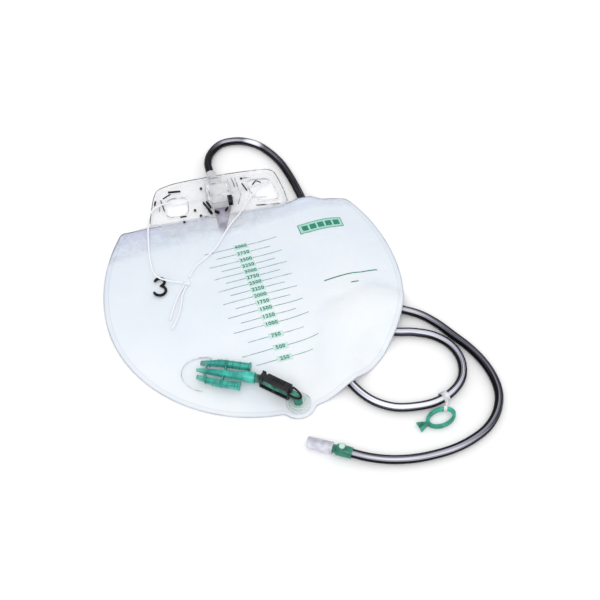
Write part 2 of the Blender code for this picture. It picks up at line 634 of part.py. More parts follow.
def make_chamber():
    half = CHAMBER_WIDTH / 2
    top_v = CHAMBER_LOW_V + CHAMBER_LENGTH
    outer = box_mesh("drip_chamber", (CHAMBER_U - half, CHAMBER_LOW_V, CHAMBER_BASE),
                     (CHAMBER_U + half, top_v, CHAMBER_BASE + CHAMBER_DEPTH), 2.5 * MM, 3)
    for vertex in outer.vertices:
        if vertex.co.y < CHAMBER_LOW_V + 6 * MM:
            vertex.co.x = CHAMBER_U + (vertex.co.x - CHAMBER_U) * 0.86
    body = place("drip_chamber", outer, CLEAR_RIGID, HEADER.copy())
    neck = rod_mesh("neck", NECK_RADIUS, (NECK_U, top_v - 4 * MM, NECK_HEIGHT),
                    (NECK_U, NECK_TOP, NECK_HEIGHT), 24)
    combine(body, cutter("neck_shape", neck, HEADER.copy()), "UNION")
    wall = CHAMBER_WALL
    hollow = box_mesh("hollow", (CHAMBER_U - half + 2.4 * wall, CHAMBER_LOW_V + wall,
                                 CHAMBER_BASE + wall),
                      (CHAMBER_U + half - 2.4 * wall, top_v - wall,
                       CHAMBER_BASE + CHAMBER_DEPTH - wall), 1.5 * MM)
    combine(body, cutter("chamber_hollow_cutter", hollow, HEADER.copy()), "DIFFERENCE")
    bore = rod_mesh("bore", NECK_RADIUS - 1.5 * MM, (NECK_U, top_v - 8 * MM, NECK_HEIGHT),
                    (NECK_U, NECK_TOP + 4 * MM, NECK_HEIGHT), 20)
    combine(body, cutter("neck_bore_cutter", bore, HEADER.copy()), "DIFFERENCE")
    throat = box_mesh("throat", (FUNNEL_TOP_U - 9 * MM, CHAMBER_LOW_V + 3 * MM,
                                 CHAMBER_BASE - 4 * MM),
                      (FUNNEL_TOP_U + 9 * MM, CHAMBER_LOW_V + 9 * MM, CHAMBER_BASE + 3 * MM))
    combine(body, cutter("throat_cutter", throat, HEADER.copy()), "DIFFERENCE")
    round_shade(body)

    inner = NECK_RADIUS + CLEARANCE + (TUBE_RADIUS - NECK_RADIUS)
    outside = inner + SLEEVE_WALL
    length = 11.0 * MM
    profile = [(inner, length), (outside - 0.4 * MM, length), (outside, length - 0.5 * MM),
               (outside + 0.5 * MM, 0.6 * MM), (outside, 0.0), (inner, 0.0)]
    level = HEADER @ Matrix.Translation((NECK_U, top_v + 0.4 * MM, NECK_HEIGHT))
    level = level @ Matrix.Rotation(math.radians(-90), 4, "X")
    sleeve = place("inlet_sleeve", turned_mesh("inlet_sleeve", profile, 28), CLEAR_RIGID, level)
    round_shade(sleeve)

    drip = turned_mesh("drip_nozzle", [(1.5 * MM, 6.6 * MM), (2.6 * MM, 6.6 * MM),
                                       (2.3 * MM, 0.0), (1.2 * MM, 0.0)], 20)
    tip_place = HEADER @ Matrix.Translation((NECK_U, top_v - wall - CLEARANCE - 6.6 * MM,
                                             NECK_HEIGHT))
    tip_place = tip_place @ Matrix.Rotation(math.radians(-90), 4, "X")
    tip = place("drip_nozzle", drip, CLEAR_RIGID, tip_place)
    round_shade(tip)

    vent_top = CHAMBER_BASE + CHAMBER_DEPTH + CLEARANCE
    profile = [(0.0, 2.2 * MM), (2.4 * MM, 2.2 * MM), (3.2 * MM, 1.5 * MM), (3.6 * MM, 0.0),
               (0.0, 0.0)]
    vent_place = HEADER @ Matrix.Translation((CHAMBER_U + half - 10 * MM, CHAMBER_LOW_V + 8 * MM,
                                              vent_top))
    vent = place("vent_filter", turned_mesh("vent_filter", profile, 24), BLACK, vent_place)
    round_shade(vent)

    ring = funnel_ring(0.0, FUNNEL_TOP, FUNNEL_TOP - FUNNEL_LENGTH)
    funnel = outline_mesh("anti_reflux_funnel", rounded(ring, 2 * MM, 2),
                          PLATE_THICKNESS - 0.2 * MM)
    funnel_place = HEADER @ Matrix.Translation((0, 0, PLATE_BASE + PLATE_THICKNESS / 2))
    soft = place("anti_reflux_funnel", funnel, LILAC_SOFT, funnel_place)
    round_shade(soft)


# Drainage tube, sampling port, connector, protective cap and sheet clip
def line_matrix(distance):
    """A frame on the connector's axis, its Z along the axis away from the tube."""
    turn = Matrix.Rotation(LINE_HEADING, 4, "Z") @ Matrix.Rotation(math.radians(90), 4, "Y")
    start = Vector((TUBE_END.x, TUBE_END.y, LINE_HEIGHT))
    return Matrix.Translation(start + LINE_AXIS * distance) @ turn


def make_line():
    place("drainage_tube", cord_curve("drainage_tube", TUBE_POINTS, TUBE_RADIUS, TUBE_SIDES),
          CLEAR_TUBE)
    socket = TUBE_RADIUS + CLEARANCE + 0.1 * MM
    back = -5 * MM
    profile = [(0.0, PORT_LENGTH), (4.2 * MM, PORT_LENGTH), (4.6 * MM, PORT_LENGTH - 0.6 * MM),
               (4.6 * MM, PORT_LENGTH - 3 * MM), (PORT_RADIUS, PORT_LENGTH - 4 * MM),
               (PORT_RADIUS, 1.0 * MM), (PORT_RADIUS - 0.3 * MM, back), (socket, back),
               (socket, CLEARANCE), (0.0, CLEARANCE)]
    port_place = line_matrix(0)
    port = place("sampling_port", turned_mesh("sampling_port", profile, 28), GREEN, port_place)
    stub_base = Vector((TUBE_END.x, TUBE_END.y, LINE_HEIGHT)) + LINE_AXIS * (PORT_LENGTH * 0.4)
    stub_top = stub_base + Vector((0, 0, PORT_RADIUS + 2.2 * MM))
    stub = rod_mesh("stub", 4.0 * MM, stub_base + Vector((0, 0, 1 * MM)), stub_top, 20)
    combine(port, cutter("port_stub_shape", stub), "UNION")
    round_shade(port)
    seat = stub_top + Vector((0, 0, CLEARANCE))
    profile = [(0.0, 1.5 * MM), (2.0 * MM, 1.4 * MM), (3.0 * MM, 0.8 * MM), (3.3 * MM, 0.0),
               (0.0, 0.0)]
    septum = place("port_septum", turned_mesh("port_septum", profile, 20), PALE_RUBBER,
                   Matrix.Translation(seat))
    round_shade(septum)

    taper = [(0.0, 21 * MM), (2.9 * MM, 21 * MM), (3.3 * MM, 20 * MM), (4.2 * MM, 2.4 * MM),
             (5.4 * MM, 2.0 * MM), (5.4 * MM, 0.0), (0.0, 0.0)]
    connector = place("catheter_connector", turned_mesh("catheter_connector", taper, 28),
                      CLEAR_RIGID, line_matrix(PORT_LENGTH + CLEARANCE))
    round_shade(connector)
    mouth = 5.4 * MM + CLEARANCE
    profile = [(0.0, CAP_LENGTH), (CAP_RADIUS - 1.2 * MM, CAP_LENGTH),
               (CAP_RADIUS - 0.5 * MM, CAP_LENGTH - 0.6 * MM), (CAP_RADIUS, 0.0), (mouth, 0.0),
               (CAP_RADIUS - 0.6 * MM - CAP_WALL, CAP_LENGTH - CAP_WALL),
               (0.0, CAP_LENGTH - CAP_WALL)]
    cap = place("protective_cap", turned_mesh("protective_cap", profile, 28), CLEAR_RIGID,
                line_matrix(PORT_LENGTH + CLEARANCE + 0.2 * MM))
    round_shade(cap)


CLIP_LINK = 13.5 * MM
CLIP_LINK_HEADING = math.radians(-106)
CLIP_HEADING = math.radians(187)
CLIP_LONG = 15.0 * MM
CLIP_WIDE = 9.5 * MM
CLIP_EYE_AT = math.radians(231)
EYE_WIDTH = 3.4 * MM
CLIP_SIDES = 28


def clip_oval(grow):
    """The clip's oval, grown or shrunk by a margin, in its own frame."""
    return [((CLIP_LONG + grow) * math.cos(2 * math.pi * k / CLIP_SIDES),
             (CLIP_WIDE + grow) * math.sin(2 * math.pi * k / CLIP_SIDES))
            for k in range(CLIP_SIDES)]


def make_sheet_clip():
    near = min(range(len(TUBE_POINTS)),
               key=lambda k: (TUBE_POINTS[k].xy - Vector(BAND_AT)).length)
    a, b = sorted((TUBE_POINTS[near - 1:near + 1], TUBE_POINTS[near:near + 2]),
                  key=lambda pair: ((pair[0] + pair[1]) / 2 - Vector((*BAND_AT, 0))).length)[0]
    along = (b - a).normalized()
    centre = (a + b) / 2
    turn = Vector((0, 0, 1)).rotation_difference(along).to_matrix().to_4x4()
    inner = TUBE_RADIUS + CLEARANCE
    outside = inner + BAND_WALL
    half = BAND_WIDTH / 2
    profile = [(inner, half), (outside, half), (outside, -half), (inner, -half)]
    band = place("clip_band", turned_mesh("clip_band", profile, 24), CLEAR_RIGID,
                 Matrix.Translation(centre) @ turn)

    # The eye closes round the oval's bar and a short link joins it to the band
    heading = Matrix.Rotation(CLIP_HEADING, 3, "Z")
    eye_local = Vector((CLIP_LONG * math.cos(CLIP_EYE_AT), CLIP_WIDE * math.sin(CLIP_EYE_AT), 0))
    eye_axis = heading @ Vector((-CLIP_LONG * math.sin(CLIP_EYE_AT),
                                 CLIP_WIDE * math.cos(CLIP_EYE_AT), 0)).normalized()
    link = Vector((math.cos(CLIP_LINK_HEADING), math.sin(CLIP_LINK_HEADING), 0))
    eye_inner = math.hypot(CLIP_HEIGHT, CLIP_BAR) / 2 + CLEARANCE
    eye_centre = centre + link * CLIP_LINK
    eye_centre.z = eye_inner + BAND_WALL + CLEARANCE
    eye_turn = Vector((0, 0, 1)).rotation_difference(eye_axis).to_matrix().to_4x4()
    ring = [(eye_inner, EYE_WIDTH / 2), (eye_inner + BAND_WALL, EYE_WIDTH / 2),
            (eye_inner + BAND_WALL, -EYE_WIDTH / 2), (eye_inner, -EYE_WIDTH / 2)]
    eye = turned_mesh("eye", ring, 20)
    combine(band, cutter("clip_eye_shape", eye, Matrix.Translation(eye_centre) @ eye_turn),
            "UNION")
    square = (link - along * link.dot(along)).normalized()
    web_start = centre + square * (outside + 0.1 * MM)
    web_line = (eye_centre - web_start).normalized()
    web_end = eye_centre - web_line * (eye_inner + BAND_WALL * 0.5)
    web = rod_mesh("web", 1.3 * MM, web_start, web_end, 10)
    combine(band, cutter("clip_web_shape", web), "UNION")
    round_shade(band)

    # The oval hangs in the eye by one side and its forked tail rests on the table
    loop = outline_mesh("sheet_clip", clip_oval(CLIP_BAR / 2), CLIP_HEIGHT,
                        [clip_oval(-CLIP_BAR / 2)])
    fork = CLIP_LONG + 11 * MM
    tail_ring = [(CLIP_LONG - 0.6 * MM, -2.2 * MM), (CLIP_LONG + 3 * MM, -2.0 * MM),
                 (fork, -5.6 * MM), (fork - 0.6 * MM, -0.6 * MM), (CLIP_LONG + 4.5 * MM, 0.0),
                 (fork - 0.6 * MM, 0.6 * MM), (fork, 5.6 * MM), (CLIP_LONG + 3 * MM, 2.0 * MM),
                 (CLIP_LONG - 0.6 * MM, 2.2 * MM)]
    tail = outline_mesh("tail", tail_ring, CLIP_HEIGHT * 0.9)
    dip = math.asin((eye_centre.z - CLIP_HEIGHT / 2 - CLEARANCE) / (fork - eye_local.x))
    turn = Matrix.Rotation(CLIP_HEADING, 4, "Z") @ Matrix.Rotation(dip, 4, "Y")
    seat = Matrix.Translation(eye_centre) @ turn @ Matrix.Translation(-eye_local)
    clip = place("sheet_clip", loop, TEAL, seat)
    combine(clip, cutter("clip_tail_shape", tail, seat), "UNION")
    round_shade(clip)


# Outlet: boss, green tube, pinch clamp, nozzle and its pocket
CLAMP_HEADING = math.radians(132.0)
NOZZLE_HEADING = math.radians(151.0)
CLAMP_RISE = 13.6 * MM
ELBOW_BEND = 9.0 * MM
COLLAR_HEIGHT = 3.6 * MM
BOSS_TOP = front_top(BOSS_X, BOSS_Y) + CLEARANCE
CLAMP_DIRECTION = Vector((math.cos(CLAMP_HEADING), math.sin(CLAMP_HEADING), 0))
CLAMP_START = Vector((BOSS_X, BOSS_Y, CLAMP_RISE)) + CLAMP_DIRECTION * ELBOW_BEND
NOZZLE_DIRECTION = Vector((math.cos(NOZZLE_HEADING), math.sin(NOZZLE_HEADING), -0.035)).normalized()
NOZZLE_START = (CLAMP_START + CLAMP_DIRECTION * (CLAMP_LENGTH + 2.5 * MM)
                + NOZZLE_DIRECTION * 4.5 * MM)
PINCH_AT = CLAMP_LENGTH * 0.52


def clamp_matrix():
    """Clamp frame: X from the boss towards the nozzle, origin on the tube's axis at the boss."""
    return Matrix.Translation(CLAMP_START) @ Matrix.Rotation(CLAMP_HEADING, 4, "Z")


def nozzle_matrix():
    """Nozzle frame: Z along the nozzle towards its tip, X level."""
    turn = Vector((0, 0, 1)).rotation_difference(NOZZLE_DIRECTION).to_matrix().to_4x4()
    level = turn.inverted().to_3x3() @ Vector((0, 0, 1))
    twist = Matrix.Rotation(math.atan2(level.y, level.x) - math.pi / 2, 4, "Z")
    return Matrix.Translation(NOZZLE_START) @ turn @ twist


def make_boss():
    socket = OUTLET_RADIUS + CLEARANCE
    profile = [(socket, COLLAR_HEIGHT), (socket + 1.3 * MM, COLLAR_HEIGHT),
               (socket + 1.6 * MM, COLLAR_HEIGHT - 0.6 * MM),
               (socket + 1.9 * MM, BOSS_THICKNESS), (BOSS_RADIUS - 1.2 * MM, BOSS_THICKNESS),
               (BOSS_RADIUS, BOSS_THICKNESS * 0.5), (BOSS_RADIUS, 0.0),
               (OUTLET_RADIUS * 0.7, 0.0), (OUTLET_RADIUS * 0.7, BOSS_THICKNESS),
               (socket, BOSS_THICKNESS)]
    boss = place("outlet_boss", turned_mesh("outlet_boss", profile, 36), CLEAR_RIGID,
                 Matrix.Translation((BOSS_X, BOSS_Y, BOSS_TOP)))
    round_shade(boss)


def make_outlet_tube():
    foot = Vector((BOSS_X, BOSS_Y, BOSS_TOP + BOSS_THICKNESS + CLEARANCE))
    bend_centre = CLAMP_START - Vector((0, 0, ELBOW_BEND))
    route = [foot]
    for step in range(6):
        angle = math.pi - step * math.pi / 10
        route.append(bend_centre + CLAMP_DIRECTION * (math.cos(angle) * ELBOW_BEND)
                     + Vector((0, 0, math.sin(angle) * ELBOW_BEND)))
    for share in (0.2, 0.4, 0.6, 0.8, 1.0):
        route.append(CLAMP_START + CLAMP_DIRECTION * CLAMP_LENGTH * share)
    route.append(NOZZLE_START)
    route.append(NOZZLE_START + NOZZLE_DIRECTION * 3 * MM)
    route.append(NOZZLE_START + NOZZLE_DIRECTION * 6 * MM)
    curve = cord_curve("outlet_tube", smooth_path(route, 2.6 * MM), OUTLET_RADIUS - CLEARANCE, 3)
    item = bpy.data.objects.new("outlet_tube_curve", curve)
    PARTS.objects.link(item)
    mesh = as_mesh(item)
    bpy.data.objects.remove(item, do_unlink=True)
    frame = clamp_matrix().inverted()
    back = clamp_matrix()
    for vertex in mesh.vertices:
        local = frame @ vertex.co
        near = ease(1.6 - abs(local.x - PINCH_AT) / (6 * MM))
        if 0 < local.x < CLAMP_LENGTH:
            local.z *= 1 - 0.62 * near
            local.y *= 1 + 0.12 * near
        vertex.co = back @ local
    tube = place("outlet_tube", mesh, GREEN)
    round_shade(tube, 60)


def make_clamp():
    frame = clamp_matrix()
    half = CLAMP_WIDTH / 2
    bottom = -OUTLET_RADIUS - CLEARANCE - CLAMP_BAR
    base = place("clamp_base", box_mesh("clamp_base", (0, -half, bottom),
                                        (CLAMP_LENGTH, half, bottom + CLAMP_BAR), 0.5 * MM),
                 BLACK, frame)
    pinch_low = box_mesh("pinch_low", (PINCH_AT - 2 * MM, -half + 1 * MM, bottom + CLAMP_BAR / 2),
                         (PINCH_AT + 2 * MM, half - 1 * MM,
                          -OUTLET_RADIUS * 0.38 - CLEARANCE), 0.4 * MM)
    combine(base, cutter("lower_ridge_shape", pinch_low, frame), "UNION")
    pin_height = OUTLET_RADIUS + CLEARANCE + 2.8 * MM
    plate_top = OUTLET_RADIUS + CLEARANCE + 0.6 * MM
    wall = 2.0 * MM
    for name, x, top in (("boss_end", 0.0, plate_top), ("hinge_end", CLAMP_LENGTH - wall,
                                                        plate_top)):
        end = box_mesh(name, (x, -half, bottom + 0.2 * MM), (x + wall, half, top), 0.4 * MM)
        combine(base, cutter(name + "_shape", end, frame), "UNION")
    pin_x = CLAMP_LENGTH - 1.2 * MM
    for name, low in (("near_ear", -half), ("far_ear", half - 2.0 * MM)):
        ear = box_mesh(name, (CLAMP_LENGTH - 3.6 * MM, low, plate_top - 3 * MM),
                       (CLAMP_LENGTH + 1.0 * MM, low + 2.0 * MM, pin_height + 2.2 * MM), 0.5 * MM)
        combine(base, cutter(name + "_shape", ear, frame), "UNION")
    pin = rod_mesh("pin", CLAMP_PIN, (pin_x, -half - 0.6 * MM, pin_height),
                   (pin_x, half + 0.6 * MM, pin_height), 14)
    combine(base, cutter("hinge_pin_shape", pin, frame), "UNION")
    catch = box_mesh("catch", (-1.4 * MM, -2.4 * MM, bottom + 0.4 * MM),
                     (0.4 * MM, 2.4 * MM, pin_height + 2.6 * MM), 0.3 * MM)
    combine(base, cutter("catch_shape", catch, frame), "UNION")
    bore = rod_mesh("tube_way", OUTLET_RADIUS + CLEARANCE * 0.5, (-6 * MM, 0, 0),
                    (CLAMP_LENGTH + 6 * MM, 0, 0), 24)
    combine(base, cutter("tube_way_cutter", bore, frame), "DIFFERENCE")
    round_shade(base)

    # The lever turns on the pin and its tip is caught behind the catch
    origin = frame @ Vector((pin_x, 0, pin_height))
    lever_frame = Matrix.Translation(origin) @ Matrix.Rotation(CLAMP_HEADING, 4, "Z")
    ear_gap = half - 2.0 * MM - CLEARANCE
    tip = -pin_x + 0.4 * MM + CLEARANCE
    lever = place("clamp_lever", box_mesh("clamp_lever", (tip, -half, -0.9 * MM),
                                          (-4.6 * MM, half, 1.3 * MM), 0.5 * MM),
                  BLACK, lever_frame)
    arm = box_mesh("arm", (-6.0 * MM, -ear_gap, -0.9 * MM), (0.2 * MM, ear_gap, 1.3 * MM))
    combine(lever, cutter("lever_arm_shape", arm, lever_frame), "UNION")
    knuckle = rod_mesh("knuckle", 2.0 * MM, (0, -ear_gap, 0), (0, ear_gap, 0), 20)
    combine(lever, cutter("lever_knuckle_shape", knuckle, lever_frame), "UNION")
    nose_x = PINCH_AT - pin_x
    nose_low = -pin_height + OUTLET_RADIUS * 0.38 + CLEARANCE
    nose = box_mesh("nose", (nose_x - 1.6 * MM, -half + 1.2 * MM, nose_low),
                    (nose_x + 1.6 * MM, half - 1.2 * MM, 0.2 * MM), 0.4 * MM)
    combine(lever, cutter("lever_nose_shape", nose, lever_frame), "UNION")
    for k in range(3):
        grip = box_mesh("grip", (tip + (1.4 + 2.2 * k) * MM, -half + 1 * MM, 1.0 * MM),
                        (tip + (2.4 + 2.2 * k) * MM, half - 1 * MM, 1.8 * MM))
        combine(lever, cutter(f"lever_grip_shape_{k}", grip, lever_frame), "UNION")
    hole = rod_mesh("pin_way", CLAMP_PIN + CLEARANCE, (0, -half, 0), (0, half, 0), 16)
    combine(lever, cutter("pin_way_cutter", hole, lever_frame), "DIFFERENCE")
    round_shade(lever)
    return origin


def make_nozzle():
    frame = nozzle_matrix()
    socket = OUTLET_RADIUS + 0.1 * MM
    length = NOZZLE_LENGTH
    profile = [(1.7 * MM, length), (2.6 * MM, length), (3.1 * MM, length - 12 * MM),
               (NOZZLE_RADIUS - 0.9 * MM, length - 20 * MM),
               (NOZZLE_RADIUS, NOZZLE_SHANK), (NOZZLE_RADIUS + 1.3 * MM, NOZZLE_SHANK - 1 * MM),
               (NOZZLE_RADIUS + 1.4 * MM, 0.0), (socket, 0.0), (socket, NOZZLE_SOCKET),
               (1.7 * MM, NOZZLE_SOCKET)]
    body = place("outlet_nozzle", turned_mesh("outlet_nozzle", profile, 24), TEAL, frame)
    size = WING_SIZE / 2
    for side, name in ((-1, "left"), (1, "right")):
        wide = WING_SPREAD * side
        wing = box_mesh(name + "_wing", (wide - size, -size, NOZZLE_SHANK),
                        (wide + size, size, length - 3 * MM), 0.7 * MM)
        for vertex in wing.vertices:
            if vertex.co.z > length / 2:
                vertex.co.x -= side * 2.6 * MM
        combine(body, cutter(name + "_wing_shape", wing, frame), "UNION")
        foot = box_mesh(name + "_foot", (wide - 3.2 * MM, -3.4 * MM, NOZZLE_SHANK - 1 * MM),
                        (wide + 3.2 * MM, 3.4 * MM, NOZZLE_SHANK + 0.8 * MM), 0.4 * MM)
        combine(body, cutter(name + "_foot_shape", foot, frame), "UNION")
    for index, (at, wide) in enumerate(((38 * MM, WING_SPREAD + 2.6 * MM), (55 * MM, 11.5 * MM))):
        bar = box_mesh("bar", (-wide, -3.2 * MM, at), (wide, 3.2 * MM, at + 1.6 * MM), 0.4 * MM)
        combine(body, cutter(f"cross_flange_shape_{index}", bar, frame), "UNION")
    way = rod_mesh("way", 2.0 * MM, (0, 0, 5 * MM), (0, 0, length + 4 * MM), 16)
    combine(body, cutter("nozzle_bore_cutter", way, frame), "DIFFERENCE")
    round_shade(body)


POCKET_WALL = 0.8 * MM
POCKET_LENGTH = 24.0 * MM
POCKET_HALF = 18.5 * MM
POCKET_DEPTH = 11.0 * MM


def make_pocket():
    """A clear welded pocket over the nozzle's tip: a cut sphere with a wall and a flange."""
    tip = NOZZLE_START + NOZZLE_DIRECTION * (NOZZLE_LENGTH - 12 * MM)
    base = max(front_top(tip.x + dx * MM, tip.y + dy * MM)
               for dx in (-24, 0, 16) for dy in (-20, 0, 20)) + CLEARANCE
    work = bmesh.new()
    bmesh.ops.create_uvsphere(work, u_segments=28, v_segments=14, radius=1.0)
    bmesh.ops.rotate(work, verts=work.verts, cent=(0, 0, 0),
                     matrix=Matrix.Rotation(math.radians(90), 3, "Y"))
    bmesh.ops.bisect_plane(work, geom=work.verts[:] + work.edges[:] + work.faces[:],
                           plane_co=(0, 0, 0.02), plane_no=(0, 0, -1), clear_outer=True)
    bmesh.ops.bisect_plane(work, geom=work.verts[:] + work.edges[:] + work.faces[:],
                           plane_co=(-0.05, 0, 0), plane_no=(-1, 0, 0), clear_outer=True)
    bmesh.ops.scale(work, vec=(POCKET_LENGTH, POCKET_HALF, POCKET_DEPTH), verts=work.verts)
    rim = [edge for edge in work.edges if edge.is_boundary
           and all(vertex.co.z < 0.3 * MM for vertex in edge.verts)]
    skirt = bmesh.ops.extrude_edge_only(work, edges=rim)
    for item in skirt["geom"]:
        if isinstance(item, bmesh.types.BMVert):
            out = Vector((item.co.x, item.co.y, 0)).normalized()
            if item.co.x > 0:
                item.co += out * 3 * MM
            else:
                item.co += Vector((0, math.copysign(3 * MM, item.co.y), 0))
    bmesh.ops.recalc_face_normals(work, faces=work.faces)
    mesh = bpy.data.meshes.new("nozzle_pocket")
    work.to_mesh(mesh)
    work.free()
    turn = Matrix.Rotation(NOZZLE_HEADING, 4, "Z")
    pocket = place("nozzle_pocket", mesh, CLEAR_RIGID,
                   Matrix.Translation((tip.x, tip.y, base)) @ turn)
    wall = pocket.modifiers.new("wall", "SOLIDIFY")
    wall.thickness = POCKET_WALL
    wall.offset = 1.0
    round_shade(pocket)


# Hanging cord with its knot, tails and hook
KNOT = (-69.7 * MM, 23.0 * MM)
ROUTE_RIGHT = [(-66.0, 31.5), (-55.4, 44.0), (-40.9, 53.3), (-25.9, 64.3), (-13.1, 79.5),
               (1.5, 96.0), (18.1, 110.6), (36.5, 130.0), (49.0, 141.0)]
ROUTE_LEFT = [(-80.5, 146.0), (-88.5, 132.0), (-92.5, 118.0), (-95.5, 105.0), (-101.0, 77.0),
              (-102.4, 54.0), (-100.4, 43.5), (-94.5, 36.0), (-83.0, 30.5), (-74.2, 26.2)]
THROUGH_LEFT = [(-83.0, 147.5, 8.1), (-77.0, 150.2, 7.5), (-72.3, 151.0, 5.0),
                (-68.0, 150.8, 2.6), (-60.0, 150.0, 1.4)]
THROUGH_RIGHT = [(20.0, 158.5, 1.4), (38.0, 161.2, 1.4), (45.5, 161.5, 2.4),
                 (49.2, 159.0, 4.6), (47.0, 155.0, 7.0)]
HOOK_AT = (-100.5 * MM, 31.0 * MM)
HOOK_UPPER = 5.6 * MM
HOOK_LOWER = 6.8 * MM
ROUTE_LONG_TAIL = [(-72.2, 20.0), (-80.5, 8.1), (-84.4, -2.9), (-91.9, -18.1), (-102.4, -32.1)]
ROUTE_SHORT_TAIL = [(-74.5, 21.6), (-86.0, 8.0), (-95.0, -7.0), (-101.5, -19.0)]


def lay_on_bag(x, y, above):
    """Height of a thin cord that lies on the front film, and over the hook where that is."""
    film = max(front_top(x + dx * MM, y + dy * MM) for dx in (-4, 0, 4) for dy in (-4, 0, 4))
    hook = math.hypot(x - HOOK_AT[0], y - HOOK_AT[1] - HOOK_UPPER)
    return film + above + (2 * HOOK_WIRE + 2 * CLEARANCE) * ease(2.4 - hook / (9 * MM))


def over_hanger(x, y):
    point = HEADER.inverted() @ Vector((x, y, 0))
    return point.y > 117 * MM


def cord_route():
    top = PLATE_BASE + PLATE_THICKNESS + RIB_HEIGHT + CORD_RADIUS + 2 * CLEARANCE
    resting = CORD_RADIUS + 2.2 * CLEARANCE
    points = []
    for x, y in reversed(ROUTE_LEFT):
        x, y = x * MM, y * MM
        points.append((x, y, top if over_hanger(x, y) else lay_on_bag(x, y, resting)))
    for u, v, z in THROUGH_LEFT + THROUGH_RIGHT:
        points.append((*header_xy(u * MM, v * MM), z * MM))
    for x, y in reversed(ROUTE_RIGHT):
        x, y = x * MM, y * MM
        points.append((x, y, top if over_hanger(x, y) else lay_on_bag(x, y, resting)))
    return points


def make_hanging_cord():
    points = smooth_path(cord_route(), 8.5 * MM)
    place("hanging_cord", cord_curve("hanging_cord", points, CORD_RADIUS, 2), WHITE_CORD)
    level = lay_on_bag(*KNOT, 1.9 * MM + CLEARANCE)
    work = bmesh.new()
    bmesh.ops.create_icosphere(work, subdivisions=2, radius=1.0)
    bmesh.ops.scale(work, vec=(3.1 * MM, 2.6 * MM, 1.9 * MM), verts=work.verts)
    mesh = bpy.data.meshes.new("cord_knot")
    work.to_mesh(mesh)
    work.free()
    knot = place("cord_knot", mesh, WHITE_CORD, Matrix.Translation((*KNOT, level)))
    round_shade(knot, 60)
    for name, route in (("cord_tail_long", ROUTE_LONG_TAIL), ("cord_tail_short", ROUTE_SHORT_TAIL)):
        line = [(x * MM, y * MM, lay_on_bag(x * MM, y * MM, CORD_RADIUS + 2 * CLEARANCE))
                for x, y in route]
        place(name, cord_curve(name, smooth_path(line, 6 * MM), CORD_RADIUS, 2), WHITE_CORD)


def make_s_hook():
    """A flat black hook of two open bowls, lying on the film and hooked under the cord."""
    points = []
    for radius, start, side in ((HOOK_UPPER, 165, 1), (HOOK_LOWER, 78, -1)):
        for step in range(11):
            angle = math.radians(start - 24 * step)
            points.append(Vector((radius * math.cos(angle), radius * (math.sin(angle) + side), 0)))
    curve = cord_curve("s_hook", smooth_path(points, 2.4 * MM), HOOK_WIRE, 2)
    x, y = HOOK_AT
    level = max(front_top(x + dx * MM, y + dy * MM) for dx in (-7, 0, 7) for dy in (-13, 0, 12))
    tilt = Matrix.Rotation(math.radians(-13), 4, "Z")
    place("s_hook", curve, BLACK,
          Matrix.Translation((x, y, level + HOOK_WIRE + CLEARANCE)) @ tilt)


make_films()
make_scale()
make_hanger()
make_chamber()
make_line()
make_sheet_clip()
make_boss()
make_outlet_tube()
LEVER_PIVOT = make_clamp()
make_nozzle()
make_pocket()
make_hanging_cord()
make_s_hook()
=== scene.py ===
# %% [markdown]
# # A urine drainage bag, dressed in Blender
# This lesson starts from a finished CAD model and gives every piece the look of the real one:
# two thin films welded round their edge, a clear moulded hanger with a drip chamber, a pinch clamp
# on the outlet, a printed volume scale and a long looped tube. The CAD fixes the size and place of
# every node, and the small marks that are added here are placed against the photograph.

# %% Load the fixed frame
import math

import bmesh
import bpy
from mathutils import Matrix, Vector, noise
from mathutils.bvhtree import BVHTree


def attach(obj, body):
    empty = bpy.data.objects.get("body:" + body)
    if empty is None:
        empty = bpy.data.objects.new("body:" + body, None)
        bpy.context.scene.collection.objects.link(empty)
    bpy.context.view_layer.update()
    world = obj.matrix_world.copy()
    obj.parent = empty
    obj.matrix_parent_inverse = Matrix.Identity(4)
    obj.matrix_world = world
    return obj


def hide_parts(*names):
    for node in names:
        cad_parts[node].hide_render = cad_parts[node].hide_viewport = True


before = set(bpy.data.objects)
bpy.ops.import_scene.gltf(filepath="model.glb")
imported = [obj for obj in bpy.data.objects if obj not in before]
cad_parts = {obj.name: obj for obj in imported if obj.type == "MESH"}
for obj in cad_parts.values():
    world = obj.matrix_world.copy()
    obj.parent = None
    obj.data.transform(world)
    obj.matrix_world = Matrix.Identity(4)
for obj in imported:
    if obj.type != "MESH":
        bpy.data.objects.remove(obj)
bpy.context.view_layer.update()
MM = 0.001

# %% [markdown]
# ## Small helpers
# Colours are written as on a screen, in sRGB hex, and one function turns them to the linear values
# that a shader works in. A second one adds a shader node with its settings and its links and gives
# back one of its outputs, so that a material reads as a list of steps.

# %% Colour and node helpers
def colour(code):
    """Linear RGBA from an sRGB hex code."""
    parts = [int(code[k:k + 2], 16) / 255 for k in (1, 3, 5)]
    return (*[c / 12.92 if c <= 0.04045 else ((c + 0.055) / 1.055) ** 2.4 for c in parts], 1.0)


